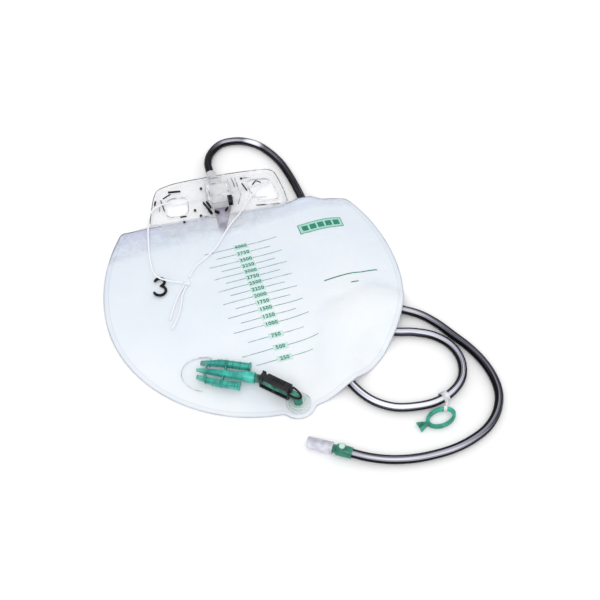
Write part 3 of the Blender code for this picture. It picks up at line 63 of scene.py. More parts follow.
def add_node(tree, kind, settings=None, out=0, **inputs):
    """Add a node with its settings, values and links, and give back one of its outputs.

    A setting called stops is a colour ramp's (position, hex code or linear grey) pairs. An input is
    named as in Blender, with _ for a space, or by its place, such as i0.
    """
    node = tree.nodes.new("ShaderNode" + kind)
    settings = dict(settings or {})
    for k, (at, shade) in enumerate(settings.pop("stops", ())):
        elements = node.color_ramp.elements
        element = elements[k] if k < len(elements) else elements.new(1.0)
        element.position = at
        element.color = colour(shade) if isinstance(shade, str) else (shade, shade, shade, 1)
    for name, value in settings.items():
        setattr(node, name, value)
    for name, value in inputs.items():
        key = int(name[1:]) if name[0] == "i" and name[1:].isdigit() else name.replace("_", " ")
        if isinstance(value, bpy.types.NodeSocket):
            tree.links.new(value, node.inputs[key])
        else:
            node.inputs[key].default_value = value
    return node.outputs[out]


def material(name, **sockets):
    """A named material whose Principled BSDF has the given socket values."""
    made = bpy.data.materials.new(name)
    made.use_nodes = True
    shader = made.node_tree.nodes["Principled BSDF"]
    for key, value in sockets.items():
        shader.inputs[key.replace("_", " ")].default_value = value
    return made, made.node_tree, shader


print("helpers ready, white is", colour("#FFFFFF")[:3])

# %% [markdown]
# ## Camera, floor and light
# The bag was photographed lying on a white table, from about 52 degrees above and a little to the
# left. A 72 mm lens on a 36 mm sensor gives the same mild perspective. The world is white where the
# camera, a reflection or a refraction looks at it, and softer as a lamp.

# %% Camera
camera_data = bpy.data.cameras.new("camera")
camera_data.lens = 72
camera_data.sensor_width = 36
camera_data.clip_end = 20
camera = bpy.data.objects.new("camera", camera_data)
bpy.context.scene.collection.objects.link(camera)
camera.location = (-0.2184, -0.8257, 1.0670)
AIM = Vector((0.0458, -0.0318, 0.0))
camera.rotation_euler = (AIM - camera.location).to_track_quat("-Z", "Y").to_euler()
bpy.context.scene.camera = camera
print("camera distance", round((AIM - camera.location).length, 3))

# %% Floor, world and lamps
FLOOR_DROP = 0.4 * MM
WORLD_AS_LAMP = 0.89
bpy.context.scene.view_settings.view_transform = "Standard"
bpy.ops.object.select_all(action="DESELECT")
bpy.ops.mesh.primitive_plane_add(size=14.0, location=(0, 0, -FLOOR_DROP))
floor = bpy.context.active_object
floor.name = "floor"
bpy.ops.object.transform_apply(location=True, rotation=True, scale=True)
PAPER = material("white_paper_floor", Base_Color=colour("#FCFCFD"), Roughness=0.9,
                 Specular_IOR_Level=0.1)[0]
floor.data.materials.append(PAPER)

world = bpy.data.worlds.new("studio")
bpy.context.scene.world = world
world.use_nodes = True
sky = world.node_tree
rays = add_node(sky, "LightPath").node.outputs
seen = add_node(sky, "Math", {"operation": "MAXIMUM"}, i0=rays["Is Camera Ray"],
                i1=rays["Is Glossy Ray"])
seen = add_node(sky, "Math", {"operation": "MAXIMUM"}, i0=seen, i1=rays["Is Transmission Ray"])
strength = add_node(sky, "MapRange", Value=seen, To_Min=WORLD_AS_LAMP)
background = sky.nodes["Background"]
sky.links.new(strength, background.inputs["Strength"])
background.inputs["Color"].default_value = colour("#FFFFFF")


def add_lamp(name, place, aim, size, power):
    """A soft square lamp."""
    data = bpy.data.lights.new(name, "AREA")
    data.size = size
    data.energy = power
    lamp = bpy.data.objects.new(name, data)
    bpy.context.scene.collection.objects.link(lamp)
    lamp.location = place
    lamp.rotation_euler = (Vector(aim) - Vector(place)).to_track_quat("-Z", "Y").to_euler()


add_lamp("key_lamp", (-0.7, -1.1, 1.8), (0, 0, 0), 1.2, 6.0)
add_lamp("side_lamp", (1.6, 0.3, 1.3), (0, 0, 0), 0.9, 2.0)
sun_data = bpy.data.lights.new("wide_sun", "SUN")
sun_data.energy = 0.5
sun_data.angle = math.radians(35)
sun = bpy.data.objects.new("wide_sun", sun_data)
bpy.context.scene.collection.objects.link(sun)
sun.rotation_euler = Vector((-0.25, -0.8, 1.0)).to_track_quat("Z", "Y").to_euler()

# %% [markdown]
# ## Where things lie
# The CAD gives each place. The turned header has its own frame, and a ray dropped on a CAD node
# tells how high its top is at any point, so that the print and the beads lie on the film and never in
# it.

# %% Shared measures
BAG_RADIUS = 169.5 * MM
BAG_CENTRE_Y = -3.7 * MM
HEADER_TURN = math.radians(-5.5)
HEADER_EDGE = 119.5 * MM
FLANK_SWELL = 0.06
FLANK_ANGLE = math.radians(40)
LEFT_CORNER = 3.0 * MM
RIGHT_CORNER = 14.0 * MM
BOSS = Vector((0.0, -164.0 * MM))
LOBE_RADIUS = 19.0 * MM
LOBE_BLEND = 3.0 * MM
WELD_HEIGHT = 1.1 * MM
RAY_START = 200 * MM
HEADER = Matrix.Translation((0, BAG_CENTRE_Y, 0)) @ Matrix.Rotation(HEADER_TURN, 4, "Z")


def tree_of(mesh):
    """A search tree over a mesh's faces."""
    return BVHTree.FromPolygons([vertex.co.copy() for vertex in mesh.vertices],
                                [tuple(face.vertices) for face in mesh.polygons])


FRONT = tree_of(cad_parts["front_film"].data)
BACK = tree_of(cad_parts["back_film"].data)


def top_at(tree, x, y):
    """Height of a piece's upper side under a point, or None beside it."""
    hit = tree.ray_cast(Vector((x, y, RAY_START)), Vector((0, 0, -1)))
    return hit[0].z if hit[0] is not None else None


def film_top(x, y):
    found = top_at(FRONT, x, y)
    return found if found is not None else WELD_HEIGHT


def smooth_less(a, b, softness):
    """Smaller of two values, with a rounded change-over."""
    blend = max(softness - abs(a - b), 0.0) / softness
    return min(a, b) - blend * blend * softness / 4


def outline_radius(angle):
    """Distance from the bag's centre to the film's cut edge, by angle in the header's frame."""
    rise = max(0.0, math.asin(math.sin(angle)))
    share = min(rise, FLANK_ANGLE) / FLANK_ANGLE
    reach = BAG_RADIUS * (1 + FLANK_SWELL * share ** 2)
    if math.sin(angle) > 0.1:
        softness = LEFT_CORNER if math.cos(angle) < 0 else RIGHT_CORNER
        reach = smooth_less(reach, HEADER_EDGE / math.sin(angle), softness)
    to_boss = BOSS - Vector((0, BAG_CENTRE_Y))
    turn = angle + HEADER_TURN - math.atan2(to_boss.y, to_boss.x)
    off = to_boss.length * math.sin(turn)
    ahead = to_boss.length * math.cos(turn)
    if ahead > 0 and abs(off) < LOBE_RADIUS:
        lobe = ahead + math.sqrt(LOBE_RADIUS ** 2 - off ** 2)
        reach = -smooth_less(-reach, -lobe, LOBE_BLEND)
    return reach


def edge_point(angle, inset=0.0):
    """A point on the film's edge, or inside it, in world X and Y."""
    reach = outline_radius(angle) - inset
    return (reach * math.cos(angle + HEADER_TURN),
            reach * math.sin(angle + HEADER_TURN) + BAG_CENTRE_Y)


print("film top at the middle", round(film_top(0, 0) / MM, 2), "mm")

# %% [markdown]
# ## Film material
# Medical film is plasticised PVC, calendered thin. It is limp and glossy, with a faint blue-white
# cast, and tiny crinkles catch the light. The weld round the edge is pressed flat and a little
# greyer, and the cut edge itself reads as a thin dark line, because light leaves the film there.
# The mesh carries a value called seal, 0 at the middle and 1 at the cut edge, which the colour uses.
# The scale of a noise is about its number of lumps per metre, so 60 gives crinkles about 17 mm apart.

# %% Film material
FILM_LOW = -180 * MM
FILM_HIGH = 126 * MM
MIX_COLOURS = {"data_type": "RGBA"}
MULTIPLY_COLOURS = {"data_type": "RGBA", "blend_type": "MULTIPLY"}
ADD_COLOURS = {"data_type": "RGBA", "blend_type": "ADD"}
MULTIPLY = {"operation": "MULTIPLY"}


def film_material(name, body, alpha, rough):
    """Thin vinyl: clean in the middle, pressed at the weld, painted darker toward the header, and
    painted with crinkle shade on the header band.
    """
    made, tree, shader = material(name, Roughness=rough, IOR=1.53, Alpha=alpha,
                                  Coat_Weight=0.12, Coat_Roughness=0.2)
    seal = add_node(tree, "Attribute", {"attribute_name": "seal"}, "Fac")
    edge = add_node(tree, "ValToRGB", {"stops": (
        (0.0, body), (0.962, body), (0.967, "#E8ECF3"), (0.973, "#F8FAFD"), (0.993, "#F4F6FA"),
        (1.0, "#C9CDD8"))}, Fac=seal)
    point = add_node(tree, "TexCoord", out="Object")
    lumps = add_node(tree, "TexNoise", Vector=point, Scale=14.0, Detail=2.0)
    tint = add_node(tree, "ValToRGB", {"stops": ((0.3, "#F5F9FE"), (0.7, "#FFFFFF"))}, Fac=lumps)
    clouded = add_node(tree, "Mix", MULTIPLY_COLOURS, 2, i0=0.8, i6=edge, i7=tint)
    height = add_node(tree, "SeparateXYZ", out="Y", i0=point)
    level = add_node(tree, "MapRange", Value=height, From_Min=FILM_LOW, From_Max=FILM_HIGH)
    # Painted shade: a faint blue-white tint through the middle, and the film painted darker and lilac
    # toward the header
    tint_and_painted_shade = add_node(tree, "ValToRGB", {"stops": (
        (0.0, "#FFFFFF"), (0.35, "#FBFDFF"), (0.6, "#F4F8FC"), (0.84, "#F2F6FB"), (0.94, "#F2F5FA"),
        (1.0, "#E0E1EC"))}, Fac=level)
    film_with_painted_shade = add_node(tree, "Mix", MULTIPLY_COLOURS, 2, i0=1.0, i6=clouded, i7=tint_and_painted_shade)
    # Painted crinkle shade: grey-lilac streaks over the header band, strongest on its left and fading
    # out to the right
    by_header = add_node(tree, "MapRange", Value=height, From_Min=74 * MM, From_Max=104 * MM)
    across = add_node(tree, "SeparateXYZ", out="X", i0=point)
    by_tongue = add_node(tree, "MapRange", Value=across, From_Min=70 * MM, From_Max=30 * MM,
                         To_Max=0.42)
    crinkle_shade_area = add_node(tree, "Math", MULTIPLY, i0=by_header, i1=by_tongue)
    patches = add_node(tree, "TexNoise", Vector=point, Scale=26.0, Detail=3.0, Roughness=0.6)
    crinkle_shade = add_node(tree, "ValToRGB", {"stops": (
        (0.4, "#FFFFFF"), (0.47, "#D2D2DF"), (0.5, "#FFFFFF"), (0.57, "#DCDBE6"),
        (0.62, "#FFFFFF"))}, Fac=patches)
    crinkle_shaded = add_node(tree, "Mix", MULTIPLY_COLOURS, 2, i0=crinkle_shade_area, i6=film_with_painted_shade, i7=crinkle_shade)
    tree.links.new(crinkle_shaded, shader.inputs["Base Color"])
    crinkle = add_node(tree, "TexNoise", Vector=point, Scale=60.0, Detail=4.0, Roughness=0.62)
    skin = add_node(tree, "Bump", Strength=0.2, Distance=1.2 * MM, Height=crinkle)
    tree.links.new(skin, shader.inputs["Normal"])
    return made, tree, shader, level


CLEAR_FILM, clear_tree, clear_shader, clear_level = film_material(
    "clear_pvc_film", "#FBFDFF", 0.5, 0.34)
WHITE_FILM = film_material("white_pvc_film", "#FCFDFF", 1.0, 0.45)[0]
# Where the film lies flat on the hanger's tongue it clings and turns clearer, most of all on the
# soft funnel, which shows through it
FUNNEL_MIDDLE = (-1 * MM, 106 * MM, 4 * MM)
cling = add_node(clear_tree, "ValToRGB", {"stops": (
    (0.0, 0.85), (0.86, 0.8), (0.92, 0.35), (1.0, 0.25))}, Fac=clear_level)
clear_point = add_node(clear_tree, "TexCoord", out="Object")
off_funnel = add_node(clear_tree, "VectorMath", {"operation": "DISTANCE"}, "Value", i0=clear_point,
                      i1=FUNNEL_MIDDLE)
over_funnel = add_node(clear_tree, "MapRange", Value=off_funnel, From_Min=10 * MM,
                       From_Max=24 * MM, To_Min=0.1)
clearness = add_node(clear_tree, "Math", MULTIPLY, i0=cling, i1=over_funnel)
clear_tree.links.new(clearness, clear_shader.inputs["Alpha"])
print("film materials", CLEAR_FILM.name, WHITE_FILM.name)

# %% [markdown]
# ## The two films
# A limp film is a single curved sheet. A flat disc is spun ring by ring in mesh code, spread to the
# outline, and each point is dropped on the CAD film below it. The front film is then drawn a little
# tauter over the hidden tube. Last come the marks of real film: radial puckers where the weld gathers
# it, long folds below the header, and a slow ripple.

# %% Make a film
FILM_SECTORS = 288
FILM_RINGS = 62
RING_CROWDING = 0.86
FILM_WALL = 0.2 * MM
LEAST_HEIGHT = 0.05 * MM
EDGE_HEIGHT = 0.6 * MM
JUST_INSIDE = 0.997
RIPPLES = 22
RIPPLE_HEIGHT = 0.7 * MM
PUCKER_HEIGHT = 1.1 * MM
PUCKER_AT = 0.9
PUCKER_REACH = 0.14
BOSS_REST = 16 * MM
BOSS_BLEND = 10 * MM


def only(item):
    """Select one piece and nothing else."""
    bpy.ops.object.select_all(action="DESELECT")
    item.select_set(True)
    bpy.context.view_layer.objects.active = item


def mesh_piece(name, work, *made_of):
    """A piece of the scene from finished mesh work."""
    mesh = bpy.data.meshes.new(name)
    work.to_mesh(mesh)
    work.free()
    for made in made_of:
        mesh.materials.append(made)
    item = bpy.data.objects.new(name, mesh)
    bpy.context.scene.collection.objects.link(item)
    return item


def clamped(value):
    return max(0.0, min(1.0, value))


def pucker(angle, share):
    """Short radial gathers, strongest just inside the weld."""
    wave = math.sin(angle * 47 + 2.3 * math.sin(angle * 5)) * noise.noise(Vector((angle * 6, 3, 0)))
    return PUCKER_HEIGHT * wave * max(0.0, 1 - abs(share - PUCKER_AT) / PUCKER_REACH)


# Each fold in millimetres: where it starts and ends, its width and its height
FOLDS = (((70, 112), (84, 20), 3.2, 1.5), ((112, 106), (116, 76), 3.0, 1.2),
         ((52, 114), (58, 66), 2.6, 1.0), ((134, 96), (146, 72), 3.0, 1.0),
         ((-86, 116), (-108, 64), 3.0, 1.1), ((-62, 116), (-66, 78), 2.4, 0.8),
         ((-50, 112), (-34, 94), 1.6, 1.2), ((-24, 108), (-6, 90), 1.6, 1.3),
         ((-78, 104), (-56, 92), 1.8, 1.2), ((26, 108), (46, 92), 1.8, 1.3),
         ((-60, 100), (-22, 98), 1.5, 0.9), ((14, 100), (44, 108), 1.5, 1.0))


def fold(x, y):
    """Long soft folds that run down from the header."""
    total = 0.0
    here = Vector((x, y))
    for start, end, width, height in FOLDS:
        a, b = Vector(start) * MM, Vector(end) * MM
        t = clamped((here - a).dot(b - a) / (b - a).length_squared)
        away = (here - a.lerp(b, t)).length / (width * MM)
        total += height * MM * math.exp(-away ** 2) * math.sin(math.pi * (0.12 + 0.86 * t))
    return total


# The film falls away from a high spot at a slope that grows with the spot's height, and the pull
# ends at the weld and left of the hidden tube
SPOT_STEP = 5
SPOT_SPAN = 170
SPOT_LEAST = 12 * MM
TAUT_REACH = 55 * MM
TAUT_MOST = 4.5 * MM
TAUT_SLOPE = 0.1
TAUT_STEEPER = 0.016
TAUT_LEVEL = 13 * MM
TAUT_SHARE = 0.98
TAUT_SHARE_BLEND = 0.2
TAUT_LEFT = 20 * MM
TAUT_LEFT_BLEND = 30 * MM
TAUT_SMOOTHING = 6
SMOOTH_SHARE = 0.95
SMOOTH_LEFT = 25 * MM


def high_spots(tree, least):
    """Places on a node that lie higher than a value, on a square grid in millimetres."""
    found = []
    for column in range(-SPOT_SPAN, SPOT_SPAN + 1, SPOT_STEP):
        for row in range(-SPOT_SPAN, SPOT_SPAN + 1, SPOT_STEP):
            high = top_at(tree, column * MM, row * MM)
            if high is not None and high > least:
                found.append((column * MM, row * MM, high))
    return found


def taut_height(x, y, base, share, spots):
    """Height of a film drawn taut over the high spots, which fades out toward its weld."""
    fade = (clamped((TAUT_SHARE - share) / TAUT_SHARE_BLEND)
            * clamped((x - TAUT_LEFT) / TAUT_LEFT_BLEND))
    if fade == 0.0:
        return base
    best = base
    for spot_x, spot_y, high in spots:
        away = math.hypot(x - spot_x, y - spot_y)
        if away < TAUT_REACH:
            slope = TAUT_SLOPE + TAUT_STEEPER * (high - TAUT_LEVEL) / MM
            best = max(best, high - away * slope)
    return base + TAUT_MOST * math.tanh((best - base) / TAUT_MOST) * fade


def film_disc(work):
    """A flat disc spread to the bag's outline, as (vertex, angle, share) ring by ring."""
    seal_layer = work.verts.layers.float.new("seal")
    centre = work.verts.new((0, BAG_CENTRE_Y, 0))
    grid = []
    for ring in range(1, FILM_RINGS + 1):
        share = (ring / FILM_RINGS) ** RING_CROWDING
        row = []
        for k in range(FILM_SECTORS):
            angle = 2 * math.pi * k / FILM_SECTORS
            x, y = edge_point(angle)
            vertex = work.verts.new((x * share, BAG_CENTRE_Y + (y - BAG_CENTRE_Y) * share, 0))
            vertex[seal_layer] = share
            row.append((vertex, angle, share))
        grid.append(row)
    for k in range(FILM_SECTORS):
        following = (k + 1) % FILM_SECTORS
        work.faces.new((centre, grid[0][k][0], grid[0][following][0]))
        for inner, outer in zip(grid, grid[1:]):
            work.faces.new((inner[k][0], outer[k][0], outer[following][0], inner[following][0]))
    return centre, grid


def make_film(name, tree, lively, made_of, spots=()):
    """Lay a disc of film at its height, give it its folds and its wall."""
    work = bmesh.new()
    centre, grid = film_disc(work)
    every = [(centre, 0.0, 0.0)] + [item for row in grid for item in row]
    for vertex, angle, share in every:
        x, y = vertex.co.x, vertex.co.y
        # At the very edge a ray may miss the CAD film, so a point just inside it is tried next
        near_x, near_y = x * JUST_INSIDE, BAG_CENTRE_Y + (y - BAG_CENTRE_Y) * JUST_INSIDE
        base = top_at(tree, x, y) or top_at(tree, near_x, near_y) or EDGE_HEIGHT
        vertex.co.z = taut_height(x, y, base, share, spots)
    if spots:
        spanned = [vertex for vertex, angle, share in every
                   if share < SMOOTH_SHARE and vertex.co.x > SMOOTH_LEFT]
        for _ in range(TAUT_SMOOTHING):
            bmesh.ops.smooth_vert(work, verts=spanned, factor=0.5, use_axis_z=True)
    for vertex, angle, share in every:
        x, y = vertex.co.x, vertex.co.y
        ripple = noise.fractal(Vector((x * RIPPLES, y * RIPPLES, 1.5)), 1.0, 2.0, 3) * RIPPLE_HEIGHT
        free = max(0.0, 1 - share ** 10)
        off_boss = clamped(((Vector((x, y)) - BOSS).length - BOSS_REST) / BOSS_BLEND)
        lift = (ripple + fold(x, y)) * free * off_boss + pucker(angle, share) * off_boss
        vertex.co.z = max(vertex.co.z + lift * lively, LEAST_HEIGHT)
    bmesh.ops.smooth_vert(work, verts=[item[0] for row in grid[:-3] for item in row], factor=0.5,
                          use_axis_z=True)
    item = mesh_piece(name, work, made_of)
    wall = item.modifiers.new("wall", "SOLIDIFY")
    wall.thickness = FILM_WALL
    wall.offset = -1.0
    only(item)
    bpy.ops.object.modifier_apply(modifier="wall")
    bpy.ops.object.shade_smooth()
    return item


back_skin = make_film("back_film_skin", BACK, 0.35, WHITE_FILM)
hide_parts("back_film")
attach(back_skin, "bag")
front_skin = make_film("front_film_skin", FRONT, 1.0, CLEAR_FILM, high_spots(FRONT, SPOT_LEAST))
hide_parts("front_film")
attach(front_skin, "bag")
print("films", len(front_skin.data.polygons), "faces each")

# %% [markdown]
# ## The cut edge
# Seen from above, the welded edge of clear film reads as a fine grey line, because it bends the light
# away. A thin bead that follows the outline gives that line a real body, as the squeezed-out plastic
# of the weld does, and its broken grey to near-black colour is painted shade, darkest near the header.

# %% Weld bead
def wire_piece(name, points, wire, made_of, closed=False):
    """A smooth round bead along points, with its radius in millimetres, fixed to the bag."""
    data = bpy.data.curves.new(name, "CURVE")
    data.dimensions = "3D"
    data.bevel_depth = wire * MM
    data.bevel_resolution = 2
    data.use_fill_caps = not closed
    spline = data.splines.new("POLY")
    spline.points.add(len(points) - 1)
    for target, place in zip(spline.points, points):
        target.co = (*place, 1)
    spline.use_cyclic_u = closed
    item = bpy.data.objects.new(name, data)
    bpy.context.scene.collection.objects.link(item)
    data.materials.append(made_of)
    only(item)
    bpy.ops.object.convert(target="MESH")
    item = bpy.context.active_object
    bpy.ops.object.transform_apply(location=True, rotation=True, scale=True)
    bpy.ops.object.shade_smooth()
    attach(item, "bag")
    return item


WELD_EDGE, weld_tree, weld_shader = material("cut_pvc_edge", Roughness=0.25, IOR=1.53)
weld_point = add_node(weld_tree, "TexCoord", out="Object")
edge_shade_noise = add_node(weld_tree, "TexNoise", Vector=weld_point, Scale=40.0, Detail=2.0)
# Painted shade: broken grey along most of the edge, near black toward the header
dark_edge = add_node(weld_tree, "ValToRGB", {"stops": (
    (0.38, "#8E8E9C"), (0.5, "#45444E"), (0.6, "#1E1D22"))}, Fac=edge_shade_noise)
pale_edge = add_node(weld_tree, "ValToRGB", {"stops": (
    (0.35, "#D6D9E2"), (0.62, "#9EA2B0"))}, Fac=edge_shade_noise)
weld_height = add_node(weld_tree, "SeparateXYZ", out="Y", i0=weld_point)
near_header = add_node(weld_tree, "MapRange", Value=weld_height, From_Min=85 * MM,
                       From_Max=112 * MM)
weld_edge_shade = add_node(weld_tree, "Mix", MIX_COLOURS, 2, i0=near_header, i6=pale_edge,
                       i7=dark_edge)
weld_tree.links.new(weld_edge_shade, weld_shader.inputs["Base Color"])
BEAD_INSET = 0.5 * MM
BEAD_LIFT = 0.35 * MM
BEAD_STEPS = 360
bead_points = []
for k in range(BEAD_STEPS):
    x, y = edge_point(2 * math.pi * k / BEAD_STEPS, BEAD_INSET)
    bead_points.append((x, y, max(top_at(BACK, x, y) or 0.0, 0.2 * MM) + BEAD_LIFT))
bead = wire_piece("weld_bead", bead_points, 0.42, WELD_EDGE, closed=True)
print("weld bead", len(bead.data.polygons), "faces")

# %% [markdown]
# ## The drainage tube
# The tube is clear extruded PVC, 9.5 mm outside with a wall of about 1.5 mm. A clear tube bends light
# at its sides and shows the way through in its middle, so it reads dark at its edges and paler
# down the middle; here that light is painted in the tube's colour, as painted shade at its edges, a
# painted pale band and painted glints. The photograph shows it from end to end, apart from its runs
# under the bag: out of the sleeve, under the bag, round the small loop with the sheet clip, back
# under, and round the big loop to the sampling port.

# %% Tube material
def clear_tube_material():
    """Clear PVC tube in painted light: painted shade at the edges, a painted pale band and painted
    glint lines. The mesh says how far each point is from the bright line along its top.
    """
    made, tree, shader = material("clear_pvc_tube", Roughness=0.1, IOR=1.53,
                                  Specular_IOR_Level=0.08)
    wall = add_node(tree, "Attribute", {"attribute_name": "wall"}, "Vector")
    lines = add_node(tree, "Attribute", {"attribute_name": "glint_lines"}, "Vector")
    waver = add_node(tree, "TexNoise", Vector=lines, Scale=1.0, Detail=2.0, Roughness=0.6)
    shift = add_node(tree, "MapRange", Value=waver, From_Min=0.3, From_Max=0.7, To_Min=-0.1,
                     To_Max=0.1)
    facing = add_node(tree, "SeparateXYZ", out="X", i0=wall)
    reach = add_node(tree, "Math", {"operation": "ADD"}, i0=facing, i1=shift)
    pale = add_node(tree, "ValToRGB", {"stops": (
        (0.0, "#020203"), (0.78, "#060608"), (0.84, "#5F5E6B"), (0.90, "#BDBED0"),
        (0.96, "#E2E3EE"), (1.0, "#FFFFFF"))}, Fac=reach)
    dim = add_node(tree, "ValToRGB", {"stops": (
        (0.0, "#020203"), (0.82, "#050507"), (0.90, "#2E2D36"), (0.96, "#6E6D7B"),
        (1.0, "#A9AAB9"))}, Fac=reach)
    clearness = add_node(tree, "SeparateXYZ", out="Y", i0=wall)
    clear = add_node(tree, "Mix", MIX_COLOURS, 2, i0=clearness, i6=dim, i7=pale)
    # Painted glints: thin grey lines added along the tube
    glint_noise = add_node(tree, "TexNoise", Vector=lines, Scale=0.35, Detail=2.0, Roughness=0.6)
    fine = add_node(tree, "ValToRGB", {"stops": (
        (0.52, "#000000"), (0.545, "#5A5966"), (0.57, "#000000"))}, Fac=glint_noise)
    with_glint_lines = add_node(tree, "Mix", ADD_COLOURS, 2, i0=1.0, i6=clear, i7=fine)
    tree.links.new(with_glint_lines, shader.inputs["Base Color"])
    return made


CLEAR_TUBE = clear_tube_material()
TUBE_RADIUS = 4.75 * MM
TUBE_ROUTE = [
    (1.2, 175.3, 10.80), (2.9, 197.8, 9.95), (12.4, 218.0, 6.55), (29.9, 231.5, 4.88),
    (52.1, 229.5, 4.85), (70.5, 216.8, 4.85), (82.4, 197.6, 4.85), (89.9, 176.3, 4.85),
    (93.4, 153.9, 4.85), (95.2, 131.3, 4.85), (96.0, 108.7, 4.85), (96.3, 86.0, 4.85),
    (96.6, 63.4, 4.85), (96.8, 40.7, 4.85), (97.3, 18.0, 4.85), (98.1, -4.6, 4.85),
    (99.5, -27.2, 4.85), (101.7, -49.8, 4.85), (104.5, -72.3, 4.85), (111.8, -93.6, 4.85),
    (127.7, -109.3, 4.85), (148.8, -117.2, 4.85), (168.1, -128.8, 4.85), (181.2, -147.1, 4.85),
    (183.9, -169.2, 4.85), (175.8, -190.2, 5.22), (158.5, -204.4, 6.26), (136.9, -210.9, 6.34),
    (114.4, -209.2, 5.79), (93.2, -202.1, 4.85), (75.5, -188.0, 4.85), (64.0, -168.6, 4.85),
    (57.8, -146.8, 4.85), (57.7, -124.3, 4.85), (66.4, -103.8, 7.90), (81.7, -88.4, 13.88),
    (102.3, -79.4, 14.96), (124.6, -77.9, 13.53), (145.4, -84.4, 7.39), (164.2, -96.3, 4.85),
    (177.9, -114.2, 4.85), (188.3, -134.3, 4.85), (198.3, -154.6, 4.85), (205.4, -176.1, 4.85),
    (208.1, -198.6, 4.85), (205.1, -220.9, 4.85), (194.3, -240.7, 4.85), (177.5, -255.7, 4.85),
    (156.7, -264.5, 4.85), (134.5, -268.9, 4.85), (111.8, -269.2, 4.85), (89.3, -266.7, 4.85),
    (67.5, -260.7, 4.85), (46.7, -251.9, 6.43), (28.0, -239.3, 6.70)]


def smooth_route(points, steps, lowest=0.0):
    """More points on a smooth curve through the given ones, in metres."""
    route = [Vector(point) * MM for point in points]
    ends = [route[0] * 2 - route[1]] + route + [route[-1] * 2 - route[-2]]
    fine = []
    for k in range(1, len(ends) - 2):
        p0, p1, p2, p3 = ends[k - 1:k + 3]
        for step in range(steps):
            t = step / steps
            fine.append(0.5 * (2 * p1 + (p2 - p0) * t + (2 * p0 - 5 * p1 + 4 * p2 - p3) * t ** 2
                               + (3 * p1 - p0 - 3 * p2 + p3) * t ** 3))
    fine.append(route[-1])
    for point in fine:
        point.z = max(point.z, lowest)
    return fine


def route_length(points):
    return sum((b - a).length for a, b in zip(points, points[1:]))


# How bright the painted light is on each stretch, by place in the route: the top arc is painted dark
# but for one painted glint, and the small loop is painted bright
PAINTED_BRIGHTNESS_AT = ((0, 0.0), (2, 0.15), (3, 0.55), (4.2, 0.35), (4.8, 1.8), (5.1, 1.8), (5.5, 0.25),
            (9, 0.0), (19, 0.85), (24, 0.7), (30, 1.0), (34, 0.8), (38, 0.4), (41, 0.25),
            (46, 0.3), (49, 0.5), (54, 0.6))
LIT_FROM = Vector((-0.1, -0.42, 0.9)).normalized()
UP = Vector((0, 0, 1))
TUBE_STEPS = 5


def between(table, at):
    """A value read off a table of (place, value), in straight lines between its rows."""
    for (a, low), (b, high) in zip(table, table[1:]):
        if at <= b:
            return low + (high - low) * max(0.0, at - a) / (b - a)
    return table[-1][1]


def swept_tube(name, line, around, radius_at, layers, made_of):
    """A closed mesh tube along a line, which stores a value in each layer at each point."""
    work = bmesh.new()
    stores = {label: work.verts.layers.float_vector.new(label) for label in layers}
    rings = []
    run = 0.0
    for k, here in enumerate(line):
        along = (line[min(k + 1, len(line) - 1)] - line[max(k - 1, 0)]).normalized()
        side = along.cross(UP).normalized()
        lift = side.cross(along)
        run += (here - line[k - 1]).length if k else 0.0
        ring = []
        for step in range(around):
            angle = 2 * math.pi * step / around
            out = side * math.cos(angle) + lift * math.sin(angle)
            vertex = work.verts.new(here + out * radius_at(run, angle))
            for label, value_at in layers.items():
                vertex[stores[label]] = value_at(k, run, angle, out)
            ring.append(vertex)
        rings.append(ring)
    for a, b in zip(rings, rings[1:]):
        for step in range(around):
            after = (step + 1) % around
            work.faces.new((a[step], a[after], b[after], b[step]))
    work.faces.new(rings[0][::-1])
    work.faces.new(rings[-1])
    bmesh.ops.recalc_face_normals(work, faces=work.faces)
    item = mesh_piece(name, work, made_of)
    for face in item.data.polygons:
        face.use_smooth = len(face.vertices) == 4
    return item


def distance_from_light(k, run, angle, out):
    """How squarely a point faces the light, for the painted pale band, and how brightly that band is
    painted there.
    """
    clear = between(PAINTED_BRIGHTNESS_AT, k / TUBE_STEPS)
    return out.dot(LIT_FROM) - 0.05 + 0.07 * clear, clear, 0


def glint_lines_along(k, run, angle, out):
    """A place for the painted glint lines that run along the tube."""
    return math.cos(angle) * 6, math.sin(angle) * 6, run * 8


tube_line = smooth_route(TUBE_ROUTE, TUBE_STEPS, TUBE_RADIUS + 0.05 * MM)
tube = swept_tube("drainage_tube_clear", tube_line, 28, lambda run, angle: TUBE_RADIUS,
                  {"wall": distance_from_light, "glint_lines": glint_lines_along}, CLEAR_TUBE)
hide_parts("drainage_tube")
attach(tube, "bag")
print("tube length", round(route_length(tube_line), 3), "m")

# %% [markdown]
# ## The hanging cord
# The cord is braided polyester, 2 mm thick and limp. A braid shows as two sets of slanting threads,
# drawn here by two waves along and round the cord. It runs through both openings of the hanger,
# behind the plate between them, and its ends are tied in one knot that leaves two tails.

